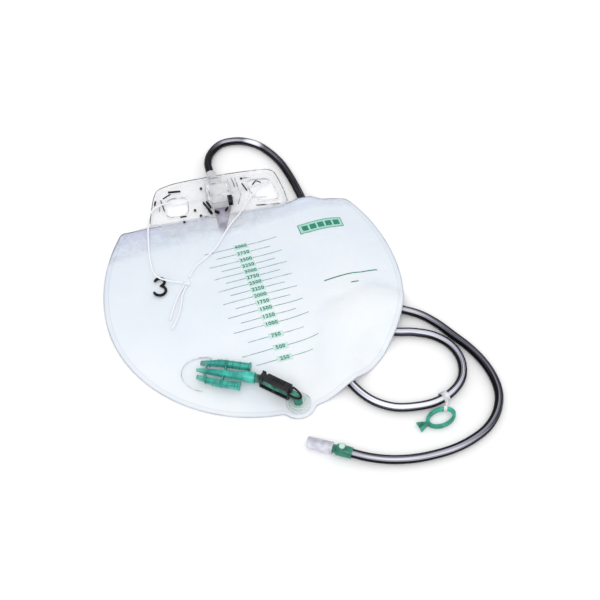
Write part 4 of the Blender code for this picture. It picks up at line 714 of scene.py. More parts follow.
# %% Cord material and cords
def braid_material():
    """Polyester braid: two sets of threads that cross at about 45 degrees."""
    made, tree, shader = material("braided_polyester", Roughness=0.7, Sheen_Weight=0.3,
                                  Sheen_Roughness=0.5)
    place = add_node(tree, "Attribute", {"attribute_name": "braid"}, "Vector")
    waves = []
    for slant in (1.0, -1.0):
        turned = add_node(tree, "VectorMath", {"operation": "DOT_PRODUCT"}, "Value", i0=place,
                          i1=(1.0, slant, 0.0))
        waves.append(add_node(tree, "Math", {"operation": "SINE"}, i0=turned))
    crossed = add_node(tree, "Math", MULTIPLY, i0=waves[0], i1=waves[1])
    threads = add_node(tree, "MapRange", Value=crossed, From_Min=-1.0)
    shade = add_node(tree, "ValToRGB", {"stops": (
        (0.0, "#C9CBD6"), (0.45, "#F1F2F6"), (1.0, "#FFFFFF"))}, Fac=threads)
    relief = add_node(tree, "Bump", Strength=0.6, Distance=0.25 * MM, Height=threads)
    tree.links.new(shade, shader.inputs["Base Color"])
    tree.links.new(relief, shader.inputs["Normal"])
    return made


BRAID = braid_material()


def braid_place(k, run, angle, out):
    """Length and turn for the braid pattern, the same on both sides of the cord."""
    turn = abs((angle + math.pi) % (2 * math.pi) - math.pi)
    return run / MM * 2.2, turn * 2, 0


def braid_tube(name, line, radius):
    """A cord whose wall swells a little with its threads."""
    item = swept_tube(name, line, 12,
                      lambda run, angle: radius * (1 + 0.05 * math.sin(run / MM * 5.2 + angle * 2)),
                      {"braid": braid_place}, BRAID)
    item.data.shade_smooth()
    return item


CORD_RADIUS = 1.0 * MM
CORD_ROUTE = [
    (-74.2, 26.2, 9.65), (-81.9, 30.0, 10.00), (-89.6, 33.4, 11.15), (-96.7, 38.0, 11.91),
    (-101.1, 45.2, 11.06), (-102.4, 53.4, 9.30), (-102.3, 61.9, 8.35), (-101.7, 70.4, 7.62),
    (-100.7, 78.9, 7.17), (-99.2, 87.3, 7.04), (-97.5, 95.7, 7.05), (-95.7, 104.1, 7.08),
    (-93.9, 112.5, 7.06), (-91.8, 120.8, 7.29), (-89.6, 129.0, 7.86), (-86.3, 136.9, 8.06),
    (-82.0, 144.3, 8.00), (-75.1, 149.0, 8.08), (-67.0, 151.7, 8.06), (-59.1, 153.6, 5.95),
    (-54.0, 152.2, 1.92), (-45.8, 151.4, 1.41), (-37.3, 151.3, 1.34), (-28.7, 151.4, 1.32),
    (-20.2, 151.5, 1.31), (-11.6, 151.5, 1.32), (-3.0, 151.6, 1.33), (5.5, 151.7, 1.35),
    (14.1, 151.8, 1.36), (22.6, 152.0, 1.38), (31.2, 152.1, 1.40), (39.8, 152.3, 1.39),
    (48.3, 152.7, 1.34), (56.8, 153.2, 1.63), (64.0, 150.4, 4.22), (59.5, 145.2, 7.33),
    (51.5, 142.3, 7.90), (44.4, 137.5, 8.11), (38.2, 131.7, 8.04), (32.2, 125.5, 7.83),
    (26.4, 119.3, 7.52), (20.5, 113.0, 7.24), (14.3, 107.1, 7.09), (7.8, 101.6, 7.08),
    (1.4, 95.9, 7.16), (-4.4, 89.6, 7.33), (-10.0, 83.1, 7.59), (-15.5, 76.6, 7.99),
    (-20.8, 69.9, 8.59), (-26.6, 63.7, 9.15), (-33.3, 58.4, 9.55), (-40.4, 53.6, 9.84),
    (-47.7, 49.2, 9.98), (-54.9, 44.5, 10.00), (-60.7, 38.2, 9.96), (-66.0, 31.5, 9.87)]
LONG_TAIL = [(-72.2, 20.0, 9.72), (-79.3, 10.2, 9.52), (-83.7, -1.1, 9.37), (-88.6, -12.2, 9.14),
             (-94.9, -22.5, 8.78), (-102.4, -32.1, 8.29)]
SHORT_TAIL = [(-74.5, 21.6, 9.62), (-82.6, 12.4, 9.37), (-89.6, 2.4, 9.10), (-95.7, -8.2, 8.81),
              (-101.5, -19.0, 8.47)]
KNOT = Vector((-69.7, 23.0, 10.38)) * MM

cord_lines = {}
for name, route, steps in (("hanging_cord", CORD_ROUTE, 10), ("cord_tail_long", LONG_TAIL, 12),
                           ("cord_tail_short", SHORT_TAIL, 12)):
    cord_lines[name] = smooth_route(route, steps)
    piece = braid_tube(name + "_braid", cord_lines[name], CORD_RADIUS)
    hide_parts(name)
    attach(piece, "bag")
print("cord lengths", {name: round(route_length(line), 3) for name, line in cord_lines.items()})

# %% [markdown]
# ## The knot
# Both ends go through one overhand knot. A trefoil is that knot drawn tight: one line that passes
# over and under itself three times. It is squashed to the size of the CAD's knot.

# %% Knot
KNOT_STEPS = 120
knot_line = []
for k in range(KNOT_STEPS):
    t = 2 * math.pi * k / KNOT_STEPS
    bend = Vector((math.sin(t) + 2 * math.sin(2 * t), math.cos(t) - 2 * math.cos(2 * t),
                   -math.sin(3 * t)))
    knot_line.append(KNOT + Vector((bend.x * 0.75, bend.y * 0.6, bend.z * 0.95)) * MM)
knot = braid_tube("cord_knot_braid", knot_line, 0.95 * MM)
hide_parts("cord_knot")
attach(knot, "bag")
print("knot at", tuple(round(c / MM, 1) for c in KNOT), "mm")

# %% [markdown]
# ## Moulded plastics
# Every rigid piece here is injection moulded. Clear styrene is hard and glossy and shows its edges
# as grey lines, polypropylene is satin with a faint milky cast, soft vinyl is satin and darker, and
# the clamp is black acetal. Moulded skin is never quite even, so each one gets a slight cloud of
# colour and a very shallow orange-peel bump.

# %% Plastic materials
def moulded(name, light, dark, roughness, grain, **more):
    """A moulded plastic with a slight cloud in its colour and an uneven skin."""
    made, tree, shader = material(name, Roughness=roughness, IOR=1.49, **more)
    point = add_node(tree, "TexCoord", out="Object")
    lumps = add_node(tree, "TexNoise", Vector=point, Scale=90.0, Detail=3.0)
    cloud = add_node(tree, "ValToRGB", {"stops": ((0.3, dark), (0.7, light))}, Fac=lumps)
    uneven = add_node(tree, "TexNoise", Vector=point, Scale=420.0, Detail=3.0, Roughness=0.6)
    wear = add_node(tree, "MapRange", Value=uneven, From_Min=0.3, From_Max=0.7,
                    To_Min=roughness * 0.8, To_Max=min(1.0, roughness * 1.25))
    peel = add_node(tree, "TexNoise", Vector=point, Scale=650.0, Detail=2.0)
    skin = add_node(tree, "Bump", Strength=0.25, Distance=grain, Height=peel)
    tree.links.new(cloud, shader.inputs["Base Color"])
    tree.links.new(wear, shader.inputs["Roughness"])
    tree.links.new(skin, shader.inputs["Normal"])
    return made


def edge_plastic(name, *stops, roughness=0.2):
    """The rounded edge of a moulding, which reads as a broken line, dark where it bends the light."""
    made, tree, shader = material(name, Roughness=roughness, IOR=1.53)
    point = add_node(tree, "TexCoord", out="Object")
    broken = add_node(tree, "TexNoise", Vector=point, Scale=70.0, Detail=2.0, Roughness=0.6)
    shade = add_node(tree, "ValToRGB", {"stops": stops}, Fac=broken)
    tree.links.new(shade, shader.inputs["Base Color"])
    return made


CLEAR_STYRENE = moulded("clear_styrene", "#FFFFFF", "#F8FAFD", 0.1, 0.05 * MM, Alpha=0.3)
VIAL_STYRENE = moulded("vial_styrene", "#FFFFFF", "#EEEFF6", 0.08, 0.05 * MM, Alpha=0.42)
CAP_STYRENE = moulded("cap_styrene", "#E6E7F0", "#9C9DAE", 0.1, 0.05 * MM, Alpha=0.85)
STRAP_STYRENE = moulded("strap_styrene", "#FFFFFF", "#D3D5DC", 0.12, 0.05 * MM, Alpha=0.8)
POCKET_FILM = moulded("clear_pocket_film", "#FFFFFF", "#F4F7FA", 0.15, 0.05 * MM, Alpha=0.035)
TEAL = moulded("teal_polypropylene", "#40C2B1", "#0D7A6F", 0.26, 0.08 * MM)
GREEN = moulded("green_vinyl", "#2C8F74", "#125A48", 0.22, 0.06 * MM)
CLIP_GREEN = moulded("green_polypropylene", "#33BDA2", "#0B6350", 0.24, 0.06 * MM)
ELBOW_GREEN = moulded("green_vinyl_tube", "#34937B", "#07332A", 0.2, 0.06 * MM)
BLACK = moulded("black_acetal", "#2B2A31", "#151519", 0.34, 0.08 * MM, Specular_IOR_Level=0.3)
HOOK_BLACK = moulded("black_coated_wire", "#0C0C0E", "#060607", 0.35, 0.05 * MM,
                     Specular_IOR_Level=0.2)
SOFT = moulded("soft_clear_vinyl", "#B9B4C4", "#716B7C", 0.3, 0.1 * MM, Alpha=0.9)
BAND_STYRENE = moulded("band_styrene", "#FFFFFF", "#A9ABB6", 0.12, 0.05 * MM, Alpha=0.8)
RUBBER = moulded("pale_septum_rubber", "#D9F0E2", "#A9CDB9", 0.6, 0.1 * MM)
# Painted shade: the edge finishes below paint each bevel with a dark broken line for the light a
# moulded edge bends away, and the vial's edge also with painted highlight
PLATE_EDGE = edge_plastic("clear_styrene_edge", (0.34, "#C9CCD3"), (0.44, "#6B6D75"),
                          (0.54, "#141417"))
OPENING_EDGE = edge_plastic("opening_edge", (0.4, "#E3E6EA"), (0.52, "#8F9199"), (0.62, "#3A3A40"))
VIAL_EDGE = edge_plastic("vial_edge", (0.36, "#FFFFFF"), (0.5, "#A9AAB8"), (0.64, "#5B5A68"))
TEAL_EDGE = edge_plastic("teal_edge", (0.38, "#14897C"), (0.6, "#0A4F48"))
BLACK_EDGE = edge_plastic("black_edge", (0.4, "#0A0A0C"), (0.6, "#050506"))


def add_rounding(item, width, edge_slot, angle):
    """A live bevel whose new faces take the edge finish where there is one."""
    edge = item.modifiers.new("edge", "BEVEL")
    edge.width = width * MM
    edge.segments = 2
    edge.limit_method = "ANGLE"
    edge.angle_limit = math.radians(angle)
    edge.material = edge_slot


def dress(node, made_of, bevel=0.25, edge_of=None, thicker=0.0, angle=32):
    """Give a CAD node its finish, with its triangles welded and its edges softened."""
    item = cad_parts[node]
    item.data.materials.clear()
    for made in (made_of, edge_of):
        if made:
            item.data.materials.append(made)
    weld = item.modifiers.new("weld", "WELD")
    weld.merge_threshold = 0.02 * MM
    if thicker:
        swell = item.modifiers.new("swell", "DISPLACE")
        swell.strength = thicker * MM
        swell.mid_level = 0.0
    if bevel:
        add_rounding(item, bevel, 1 if edge_of else -1, angle)
    only(item)
    bpy.ops.object.shade_smooth_by_angle(angle=math.radians(angle + 8))


for node, made_of, bevel, edge_of in (
        ("hanger_plate", CLEAR_STYRENE, 0.55, PLATE_EDGE),
        ("inlet_sleeve", VIAL_STYRENE, 0.2, VIAL_EDGE), ("drip_nozzle", VIAL_STYRENE, 0.0, None),
        ("anti_reflux_funnel", SOFT, 0.2, None), ("sampling_port", GREEN, 0.25, TEAL_EDGE),
        ("port_septum", RUBBER, 0.0, None), ("catheter_connector", STRAP_STYRENE, 0.2, VIAL_EDGE),
        ("protective_cap", CAP_STYRENE, 0.35, VIAL_EDGE),
        ("clip_band", BAND_STYRENE, 0.45, OPENING_EDGE), ("outlet_boss", CLEAR_STYRENE, 0.15, None),
        ("outlet_tube", ELBOW_GREEN, 0.0, None), ("clamp_base", BLACK, 0.35, BLACK_EDGE),
        ("clamp_lever", BLACK, 0.35, BLACK_EDGE), ("nozzle_pocket", POCKET_FILM, 0.0, None)):
    dress(node, made_of, bevel, edge_of)
dress("sheet_clip", CLIP_GREEN, 0.5, TEAL_EDGE, thicker=0.4)
dress("s_hook", HOOK_BLACK, 0.0, thicker=0.35)
print("dressed", len([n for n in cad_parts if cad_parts[n].modifiers]), "CAD nodes")

# %% [markdown]
# ## Modelling by hand
# The chamber, the nozzle and the small marks of the hanger have more form than the plain solids
# carry. Each starts from a cube or a cylinder in the piece's own straight frame, because faces are
# then easy to pick by their direction, and is turned to its place at the end.

# %% Hand tools
def finished(name, made_of):
    """Name the new primitive, apply its place and size, and give it its materials."""
    item = bpy.context.active_object
    item.name = name
    bpy.ops.object.transform_apply(location=True, rotation=True, scale=True)
    for made in made_of:
        item.data.materials.append(made)
    return item


def block(name, low, high, *made_of):
    """A cube primitive between two corners in millimetres."""
    bpy.ops.object.select_all(action="DESELECT")
    bpy.ops.mesh.primitive_cube_add(size=1.0, location=[(a + b) / 2 * MM for a, b in zip(low, high)])
    bpy.context.active_object.scale = [(b - a) * MM for a, b in zip(low, high)]
    return finished(name, made_of)


def rod(name, centre, radius, length, *made_of):
    """An upright cylinder primitive, with its centre in millimetres."""
    bpy.ops.object.select_all(action="DESELECT")
    bpy.ops.mesh.primitive_cylinder_add(vertices=24, radius=radius * MM, depth=length * MM,
                                        location=[value * MM for value in centre])
    return finished(name, made_of)


def pick_faces(item, test):
    """In edit mode, select only the faces whose centre and direction pass a test."""
    bpy.ops.object.mode_set(mode="EDIT")
    bpy.ops.mesh.select_mode(type="FACE")
    bpy.ops.mesh.select_all(action="DESELECT")
    work = bmesh.from_edit_mesh(item.data)
    for face in work.faces:
        face.select_set(test(face.calc_center_median() / MM, face.normal))
    bmesh.update_edit_mesh(item.data)


def pull_out(move, narrow, about):
    """Extrude the picked faces, then narrow them about a point, all in millimetres."""
    bpy.ops.mesh.extrude_region_move(
        TRANSFORM_OT_translate={"value": [value * MM for value in move]})
    bpy.ops.transform.resize(value=narrow, center_override=[value * MM for value in about])
    bpy.ops.object.mode_set(mode="OBJECT")


def sink_faces(item, test, *steps, apart=False):
    """Inset the picked faces one or more times, by (width, height) in millimetres."""
    pick_faces(item, test)
    for width, height in steps:
        bpy.ops.mesh.inset(thickness=width * MM, depth=height * MM, use_individual=apart)
    bpy.ops.object.mode_set(mode="OBJECT")


def round_edges(item, width, edge_slot=-1, angle=30):
    """Bevel every sharp edge and keep the result."""
    add_rounding(item, width, edge_slot, angle)
    only(item)
    bpy.ops.object.modifier_apply(modifier="edge")


def rounded_block(name, low, high, made_of, edge_of, width):
    """A block with softened edges in an edge finish."""
    item = block(name, low, high, made_of, edge_of)
    round_edges(item, width, 1)
    return item


def join_all(name, items):
    """Join copies of a small form to one piece."""
    bpy.ops.object.select_all(action="DESELECT")
    for item in items:
        item.select_set(True)
    bpy.context.view_layer.objects.active = items[0]
    bpy.ops.object.join()
    items[0].name = name
    return items[0]


def settle(item, place, body="bag", node=None):
    """Turn a finished piece to its place, with its object left at the origin."""
    only(item)
    item.matrix_world = place
    bpy.ops.object.transform_apply(location=True, rotation=True, scale=True)
    bpy.ops.object.shade_smooth_by_angle(angle=math.radians(38))
    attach(item, body)
    if node:
        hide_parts(node)
    return item


print("hand tools ready")

# %% [markdown]
# ## The drip chamber
# The chamber is a clear styrene vial in two halves. The tube enters its narrow neck, urine drips
# down a cup inside where it can be seen, and a soft funnel carries it on into the bag. A cube is
# drawn out to a shoulder at the top and a throat below, its broad face gets a raised frame, and
# every edge is rounded, because it is the rounded edges that show on clear plastic.

# %% Chamber vial and its cup
vial = block("drip_chamber_vial", (-27.0, 138.0, 5.2), (1.5, 163.0, 17.6), VIAL_STYRENE, VIAL_EDGE)
pick_faces(vial, lambda centre, normal: normal.y > 0.9)
pull_out((0, 9.5, 0), (0.5, 1, 0.8), (-13.0, 172.5, 11.4))
pick_faces(vial, lambda centre, normal: normal.y < -0.9)
pull_out((0, -9, 0), (0.68, 1, 0.8), (-14.5, 129.0, 10.0))
sink_faces(vial, lambda centre, normal: normal.z > 0.9 and 138 < centre.y < 163, (2.6, 0.0),
           (0.7, -0.9))
round_edges(vial, 0.8, 1, 24)
settle(vial, HEADER, node="drip_chamber")

cup = block("drip_cup", (-20.5, 141.0, 8.0), (-7.5, 161.0, 15.2), VIAL_STYRENE, VIAL_EDGE)
pick_faces(cup, lambda centre, normal: normal.y < -0.9)
pull_out((0, -4, 0), (0.7, 1, 0.7), (-14.0, 137.0, 11.6))
sink_faces(cup, lambda centre, normal: normal.z > 0.9, (2.2, 0.6))
round_edges(cup, 0.9, 1, 24)
settle(cup, HEADER)
collar = rounded_block("chamber_collar", (-20.0, 168.5, 4.9), (-6.5, 171.8, 17.9), VIAL_STYRENE,
                       VIAL_EDGE, 0.9)
settle(collar, HEADER)
print("chamber", len(vial.data.polygons), "faces, cup", len(cup.data.polygons))

# %% [markdown]
# ## Dark marks of the header
# The vent filter is a small black block low on the vial. Black bars beside the funnel's left side are
# painted shade, for the dark edges of the clear funnel; four black pins are painted shadow, for small
# holes in the plate; and black bars beside the openings are painted shadow, for their narrow slots.
# Thin beads in painted edge shade follow the plate's outline and the rims of its two openings.

# %% Vent, shade bars, ribs, pins and beads
vent = block("vent_filter_block", (-4.2, 126.0, 11.0), (1.2, 137.0, 18.3), HOOK_BLACK, BLACK_EDGE)
sink_faces(vent, lambda centre, normal: normal.z > 0.9, (1.1, -0.8))
round_edges(vent, 0.5, 1)
settle(vent, HEADER, node="vent_filter")


def header_strokes(name, strokes, low, high, made_of):
    """Narrow bars between two header points each, given as (u0, v0, u1, v1, width)."""
    made = []
    for u0, v0, u1, v1, width in strokes:
        reach = math.hypot(u1 - u0, v1 - v0) / 2
        bar = block(name, (-reach, -width / 2, low), (reach, width / 2, high), made_of)
        bar.matrix_world = (Matrix.Translation(((u0 + u1) / 2 * MM, (v0 + v1) / 2 * MM, 0))
                            @ Matrix.Rotation(math.atan2(v1 - v0, u1 - u0), 4, "Z"))
        bpy.ops.object.transform_apply(location=True, rotation=True, scale=True)
        round_edges(bar, 0.2)
        made.append(bar)
    settle(join_all(name, made), HEADER)


def rounded_line(points, closed):
    """Cut each corner of a line three times over, which rounds it."""
    for _ in range(3):
        ends = points + points[:1] if closed else points
        cut = [] if closed else [points[0]]
        for (ax, ay), (bx, by) in zip(ends, ends[1:]):
            cut += [(ax * 0.82 + bx * 0.18, ay * 0.82 + by * 0.18),
                    (ax * 0.18 + bx * 0.82, ay * 0.18 + by * 0.82)]
        points = cut if closed else cut + [points[-1]]
    return points


# Painted shade: beads in the edge finishes draw the plate's dark outline and the rims of its openings
for name, line, high, wire, made_of, closed in (
        ("plate_outline", [(-100, 123.5), (-91, 160), (-84.4, 174.8), (-62, 181.5), (7.8, 183.1),
                           (52.6, 180.7), (61, 174), (65.5, 145), (66.4, 123.5)], 6.2, 0.5, PLATE_EDGE,
         False),
        ("left_opening_rim", [(-78.5, 128), (-52.5, 128), (-50, 156.5), (-71, 158), (-80.5, 150)], 5.0,
         0.4, OPENING_EDGE, True),
        ("right_opening_rim", [(34.5, 131.5), (56, 130), (58.2, 137), (54.5, 160), (49, 166),
                               (23, 168), (26, 148)], 5.0, 0.4, OPENING_EDGE, True)):
    places = [HEADER @ (Vector((*place, high)) * MM) for place in rounded_line(line, closed)]
    wire_piece(name, places, wire, made_of, closed)

# Painted shade: black bars for the clear funnel's dark edges; painted shadow: black bars in the
# plate's slots
header_strokes("funnel_shade_bars", ((-33.0, 141.0, -25.4, 121.5, 1.6), (-29.0, 141.5, -25.6, 131.5, 1.5),
                               (-29.4, 128.5, -26.6, 122.0, 1.4), (-22.0, 124.5, -17.0, 121.0, 1.4),
                               (-9.5, 123.0, -5.5, 126.5, 1.2)), 5.4, 9.2, HOOK_BLACK)
header_strokes("slot_shadow_bars", ((-71.3, 168.4, -56.5, 166.8, 2.2), (-90.4, 150.5, -88.4, 157.0, 2.0),
                               (-82.0, 157.0, -80.4, 139.0, 1.1), (-79.0, 159.2, -69.0, 165.0, 1.0),
                               (-63.5, 125.4, -56.0, 125.2, 1.4), (17.8, 171.8, 20.6, 171.6, 2.2),
                               (18.4, 163.4, 22.4, 150.4, 1.3), (30.4, 158.6, 36.0, 164.2, 1.2)),
               5.2, 6.7, HOOK_BLACK)
header_strokes("plate_ribs", ((-39.5, 119.6, -30.0, 120.0, 1.3), (20.6, 171.8, 31.0, 171.6, 0.9),
                              (26.0, 138.0, 44.0, 135.6, 0.9), (28.1, 124.4, 56.0, 121.2, 0.9),
                              (7.4, 176.0, 9.2, 160.0, 0.9), (11.5, 174.0, 14.0, 146.0, 0.8),
                              (14.0, 146.0, 8.0, 132.0, 0.9), (36.0, 164.2, 41.5, 160.0, 0.8),
                              (-84.0, 160.0, -86.0, 140.0, 0.8)), 5.0, 6.6, OPENING_EDGE)
# Painted shadow: black pins where small holes in the plate show dark
pins = join_all("hole_shadow_pins", [rod("pin", (u, v, 4.6), 1.45, 3.6, HOOK_BLACK) for u, v in
                               ((-31.3, 166.5), (-44.5, 133.0), (-39.0, 122.8), (-60.0, 117.0))])
round_edges(pins, 0.25)
settle(pins, HEADER)
print("header marks", len(pins.data.polygons), "pin faces")

# %% [markdown]
# ## The drain nozzle
# The nozzle that plugs the outlet is moulded in teal polypropylene. Its round shank runs down the
# middle, and on each side a ribbed finger grip stands out from it, with a flange across all three.
# It is built along its own Z axis: a cylinder is drawn out step by step to the shank, and each finger
# is a cube drawn out and channelled by insets. Foot, ribs and flanges are added, and all are joined.

# %% Nozzle frame
CLAMP_HEADING = math.radians(132.0)
NOZZLE_HEADING = math.radians(151.0)
CLAMP_ALONG = Vector((math.cos(CLAMP_HEADING), math.sin(CLAMP_HEADING), 0))
CLAMP_LEVEL = 13.6
CLAMP_OFF = 9.0
CLAMP_LENGTH = 38.5
NOZZLE_GAP = 4.5
NOZZLE_DIP = -0.035
CLAMP_START = Vector((0, BOSS.y, CLAMP_LEVEL * MM)) + CLAMP_ALONG * CLAMP_OFF * MM
NOZZLE_ALONG = Vector((math.cos(NOZZLE_HEADING), math.sin(NOZZLE_HEADING), NOZZLE_DIP)).normalized()
NOZZLE_START = CLAMP_START + CLAMP_ALONG * CLAMP_LENGTH * MM + NOZZLE_ALONG * NOZZLE_GAP * MM
turn = Vector((0, 0, 1)).rotation_difference(NOZZLE_ALONG).to_matrix().to_4x4()
upward = turn.inverted().to_3x3() @ Vector((0, 0, 1))
NOZZLE = (Matrix.Translation(NOZZLE_START) @ turn
          @ Matrix.Rotation(math.atan2(upward.y, upward.x) - math.pi / 2, 4, "Z"))
print("nozzle starts at", tuple(round(value / MM, 1) for value in NOZZLE_START), "mm")

# %% Nozzle shank, fingers and flanges
shank = rod("drain_nozzle", (0, 0, 6.0), 6.1, 12.0, TEAL, TEAL_EDGE)
for reach, narrow in ((1.5, 0.8), (24.0, 0.84), (8.0, 0.85), (14.0, 0.72), (5.0, 0.7)):
    top = max(vertex.co.z for vertex in shank.data.vertices) / MM
    pick_faces(shank, lambda centre, normal: normal.z > 0.9 and centre.z > top - 0.01)
    pull_out((0, 0, reach), (narrow, narrow, 1), (0, 0, top + reach))
round_edges(shank, 0.4, 1, 40)

FINGER_OFF = 12.8
pieces = [shank]
for side in (-1, 1):
    finger = block("finger", (side * FINGER_OFF - 3.5, -2.5, 12.0 + 3.0 * side),
                   (side * FINGER_OFF + 3.5, 2.5, 40.0), TEAL, TEAL_EDGE)
    pick_faces(finger, lambda centre, normal: normal.z > 0.9)
    pull_out((-side * 3.6, 0, 22.0), (0.62, 0.8, 1), (side * 9.2, 0, 62.0))
    sink_faces(finger, lambda centre, normal: abs(normal.y) > 0.9, (1.1, -0.9), apart=True)
    round_edges(finger, 0.35, 1)
    pieces.append(finger)
    pieces.append(rounded_block("foot", (side * FINGER_OFF - 4.4, -3.2, 10.4 + 3.0 * side),
                                (side * FINGER_OFF + 4.4, 3.2, 12.6 + 3.0 * side), TEAL, TEAL_EDGE,
                                0.5))
    for step in range(5):
        along = 19.0 + 8.0 * step
        lean = side * (FINGER_OFF - 0.16 * max(0.0, along - 40.0))
        pieces.append(rounded_block("rib", (lean - 3.7, -2.7, along), (lean + 3.7, 2.7, along + 1.1),
                                    TEAL, TEAL_EDGE, 0.3))
for along, wide in ((33.0, 16.6), (54.0, 12.0)):
    pieces.append(rounded_block("flange", (-wide, -3.0, along), (wide, 3.0, along + 1.7), TEAL,
                                TEAL_EDGE, 0.45))
nozzle = settle(join_all("drain_nozzle", pieces), NOZZLE, node="outlet_nozzle")
print("nozzle", len(nozzle.data.polygons), "faces")

# %% [markdown]
# ## Clamp details, boss rings and pocket rim
# The clamp's grip ribs turn with its lever, so that piece rides on the lever's body. A black loop
# holds the elbow, thin rings show where the boss is welded, and the pocket's flange ends in a bead.

# %% Small pieces at the outlet
LEVER_TOP = tree_of(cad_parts["clamp_lever"].data)
CLAMP = Matrix.Translation(CLAMP_START) @ Matrix.Rotation(CLAMP_HEADING, 4, "Z")
ribs = []
for step in range(7):
    along = 10.0 + 3.0 * step
    spot = CLAMP @ Vector((along * MM, 0, 0))
    level = (top_at(LEVER_TOP, spot.x, spot.y) or 23.0 * MM) / MM - CLAMP_LEVEL
    ribs.append(rounded_block("rib", (along, -4.6, level - 0.3), (along + 1.1, 4.6, level + 0.5),
                              BLACK, BLACK_EDGE, 0.25))
settle(join_all("lever_grip_ribs", ribs), CLAMP, "lever")

RING_MINT = edge_plastic("mint_weld_ring", (0.4, "#BFE3D8"), (0.6, "#7FBFAE"))
RING_GREY = edge_plastic("grey_weld_ring", (0.4, "#D9D8E2"), (0.6, "#9492A4"))
boss_top = max(v.co.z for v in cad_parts["outlet_boss"].data.vertices) / MM
for name, below, radius, wire, made_of in (("boss_inner_ring", 0.2, 7.4, 0.45, RING_MINT),
                                           ("boss_middle_ring", 1.9, 10.2, 0.35, RING_MINT),
                                           ("boss_outer_ring", 2.4, 13.2, 0.4, RING_GREY)):
    circle = [2 * math.pi * step / 64 for step in range(64)]
    wire_piece(name, [Vector((radius * math.cos(angle), BOSS.y / MM + radius * math.sin(angle),
                              boss_top - below)) * MM for angle in circle], wire, made_of, True)
LOOP_REACH = 13.0
LOOP_WIDE = 5.4
LOOP_FALL = 3.2
loop_line = []
for step in range(25):
    angle = math.pi * step / 24
    loop_line.append(CLAMP @ (Vector((1.0 - LOOP_REACH * math.sin(angle), LOOP_WIDE * math.cos(angle),
                                      4.2 - LOOP_FALL * math.sin(angle))) * MM))
loop = wire_piece("elbow_loop", loop_line, 1.15, HOOK_BLACK)

POCKET_EDGE = edge_plastic("pocket_edge", (0.4, "#E3E5EA"), (0.6, "#A3A5B0"))
POCKET_AT = 54.0
POCKET_LONG = 27.0
POCKET_WIDE = 21.3
RIM_STEPS = 36
RIM_HALF = math.radians(93)
tip = NOZZLE_START + NOZZLE_ALONG * POCKET_AT * MM
rim_line = []
for step in range(RIM_STEPS + 1):
    angle = RIM_HALF * (2 * step / RIM_STEPS - 1)
    out = Matrix.Rotation(NOZZLE_HEADING, 3, "Z") @ Vector((POCKET_LONG * math.cos(angle),
                                                           POCKET_WIDE * math.sin(angle), 0))
    x, y = tip.x + out.x * MM, tip.y + out.y * MM
    rim_line.append(Vector((x, y, film_top(x, y) + 1.0 * MM)))
wire_piece("pocket_rim", rim_line, 0.35, POCKET_EDGE)
print("outlet details done, elbow loop", len(loop.data.polygons), "faces")

# %% [markdown]
# ## The printed scale
# The scale is screen printed in one green ink, with lines every 250 ml and a numeral in the gap of
# each line. The ink is a few hundredths of a millimetre thick. Each numeral is made as text, turned
# to a mesh, and laid on the film by dropping every point on it.

# %% Ink and print helpers
INK, ink_tree, ink_shader = material("green_screen_ink", Roughness=0.45)
ink_point = add_node(ink_tree, "TexCoord", out="Object")
coverage = add_node(ink_tree, "TexNoise", Vector=ink_point, Scale=700.0, Detail=2.0)
ink_shade = add_node(ink_tree, "ValToRGB", {"stops": ((0.32, "#2E9079"), (0.6, "#126B56"))},
                     Fac=coverage)
ink_tree.links.new(ink_shade, ink_shader.inputs["Base Color"])
LINE_INK = edge_plastic("grey_green_line_ink", (0.36, "#8FB5AA"), (0.5, "#6C9A8E"),
                        (0.64, "#A9B9B8"), roughness=0.45)
HALO = material("pale_ink_halo", Base_Color=colour("#CFF2E6"), Roughness=0.5, Alpha=0.5)[0]
SKIN = tree_of(front_skin.data)


def lay_print(item, above):
    """Drop every point of a flat print on the film, a hair above it."""
    for vertex in item.data.vertices:
        vertex.co.z = (top_at(SKIN, vertex.co.x, vertex.co.y) or WELD_HEIGHT) + above


BAR_STEP = 1.5
BAR_ROW = 1.2
HALO_LIFT = 0.07 * MM
LINE_LIFT = 0.12 * MM
INK_LIFT = 0.14 * MM


def print_bars(name, bars, above, made_of):
    """Flat bars (x0, x1, y, width) in millimetres, split finely enough to follow the film."""
    work = bmesh.new()
    for x0, x1, y, width in bars:
        steps = max(2, int(abs(x1 - x0) / BAR_STEP))
        rows = max(1, int(width / BAR_ROW))
        grid = []
        for k in range(steps + 1):
            x = x0 + (x1 - x0) * k / steps
            grid.append([work.verts.new((x * MM, (y + width * (row / rows - 0.5)) * MM, 0))
                         for row in range(rows + 1)])
        for near, far in zip(grid, grid[1:]):
            for row in range(rows):
                work.faces.new((near[row], far[row], far[row + 1], near[row + 1]))
    item = mesh_piece(name, work, made_of)
    lay_print(item, above)
    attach(item, "bag")
    return item


SCALE_STEPS = (59.7, 38.2, 19.7, 1.2, -17.8, -37.8, -59.3, -91.8)
SCALE_LAST = -107.0
SCALE_X = 3.5
LINE_WIDTH = 0.95
LONG_REACH = 43.5
SHORT_REACH = 32.0
NUMERAL_GAP = 8.2
HALO_REACH = 8.6
HALO_WIDTH = 8.2
scale_rows = []
for y, below in zip(SCALE_STEPS, (*SCALE_STEPS[1:], 2 * SCALE_LAST - SCALE_STEPS[-1])):
    scale_rows.append((y, LONG_REACH))
    scale_rows.append(((y + below) / 2, SHORT_REACH))
bars = []
for y, reach in scale_rows:
    bars.append((SCALE_X - reach, SCALE_X - NUMERAL_GAP, y, LINE_WIDTH))
    bars.append((SCALE_X + NUMERAL_GAP, SCALE_X + reach, y, LINE_WIDTH))
lines = print_bars("volume_lines", bars, LINE_LIFT, LINE_INK)
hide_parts("volume_scale")
print_bars("volume_halo", [(SCALE_X - HALO_REACH, SCALE_X + HALO_REACH, y, HALO_WIDTH)
                           for y, reach in scale_rows], HALO_LIFT, HALO)
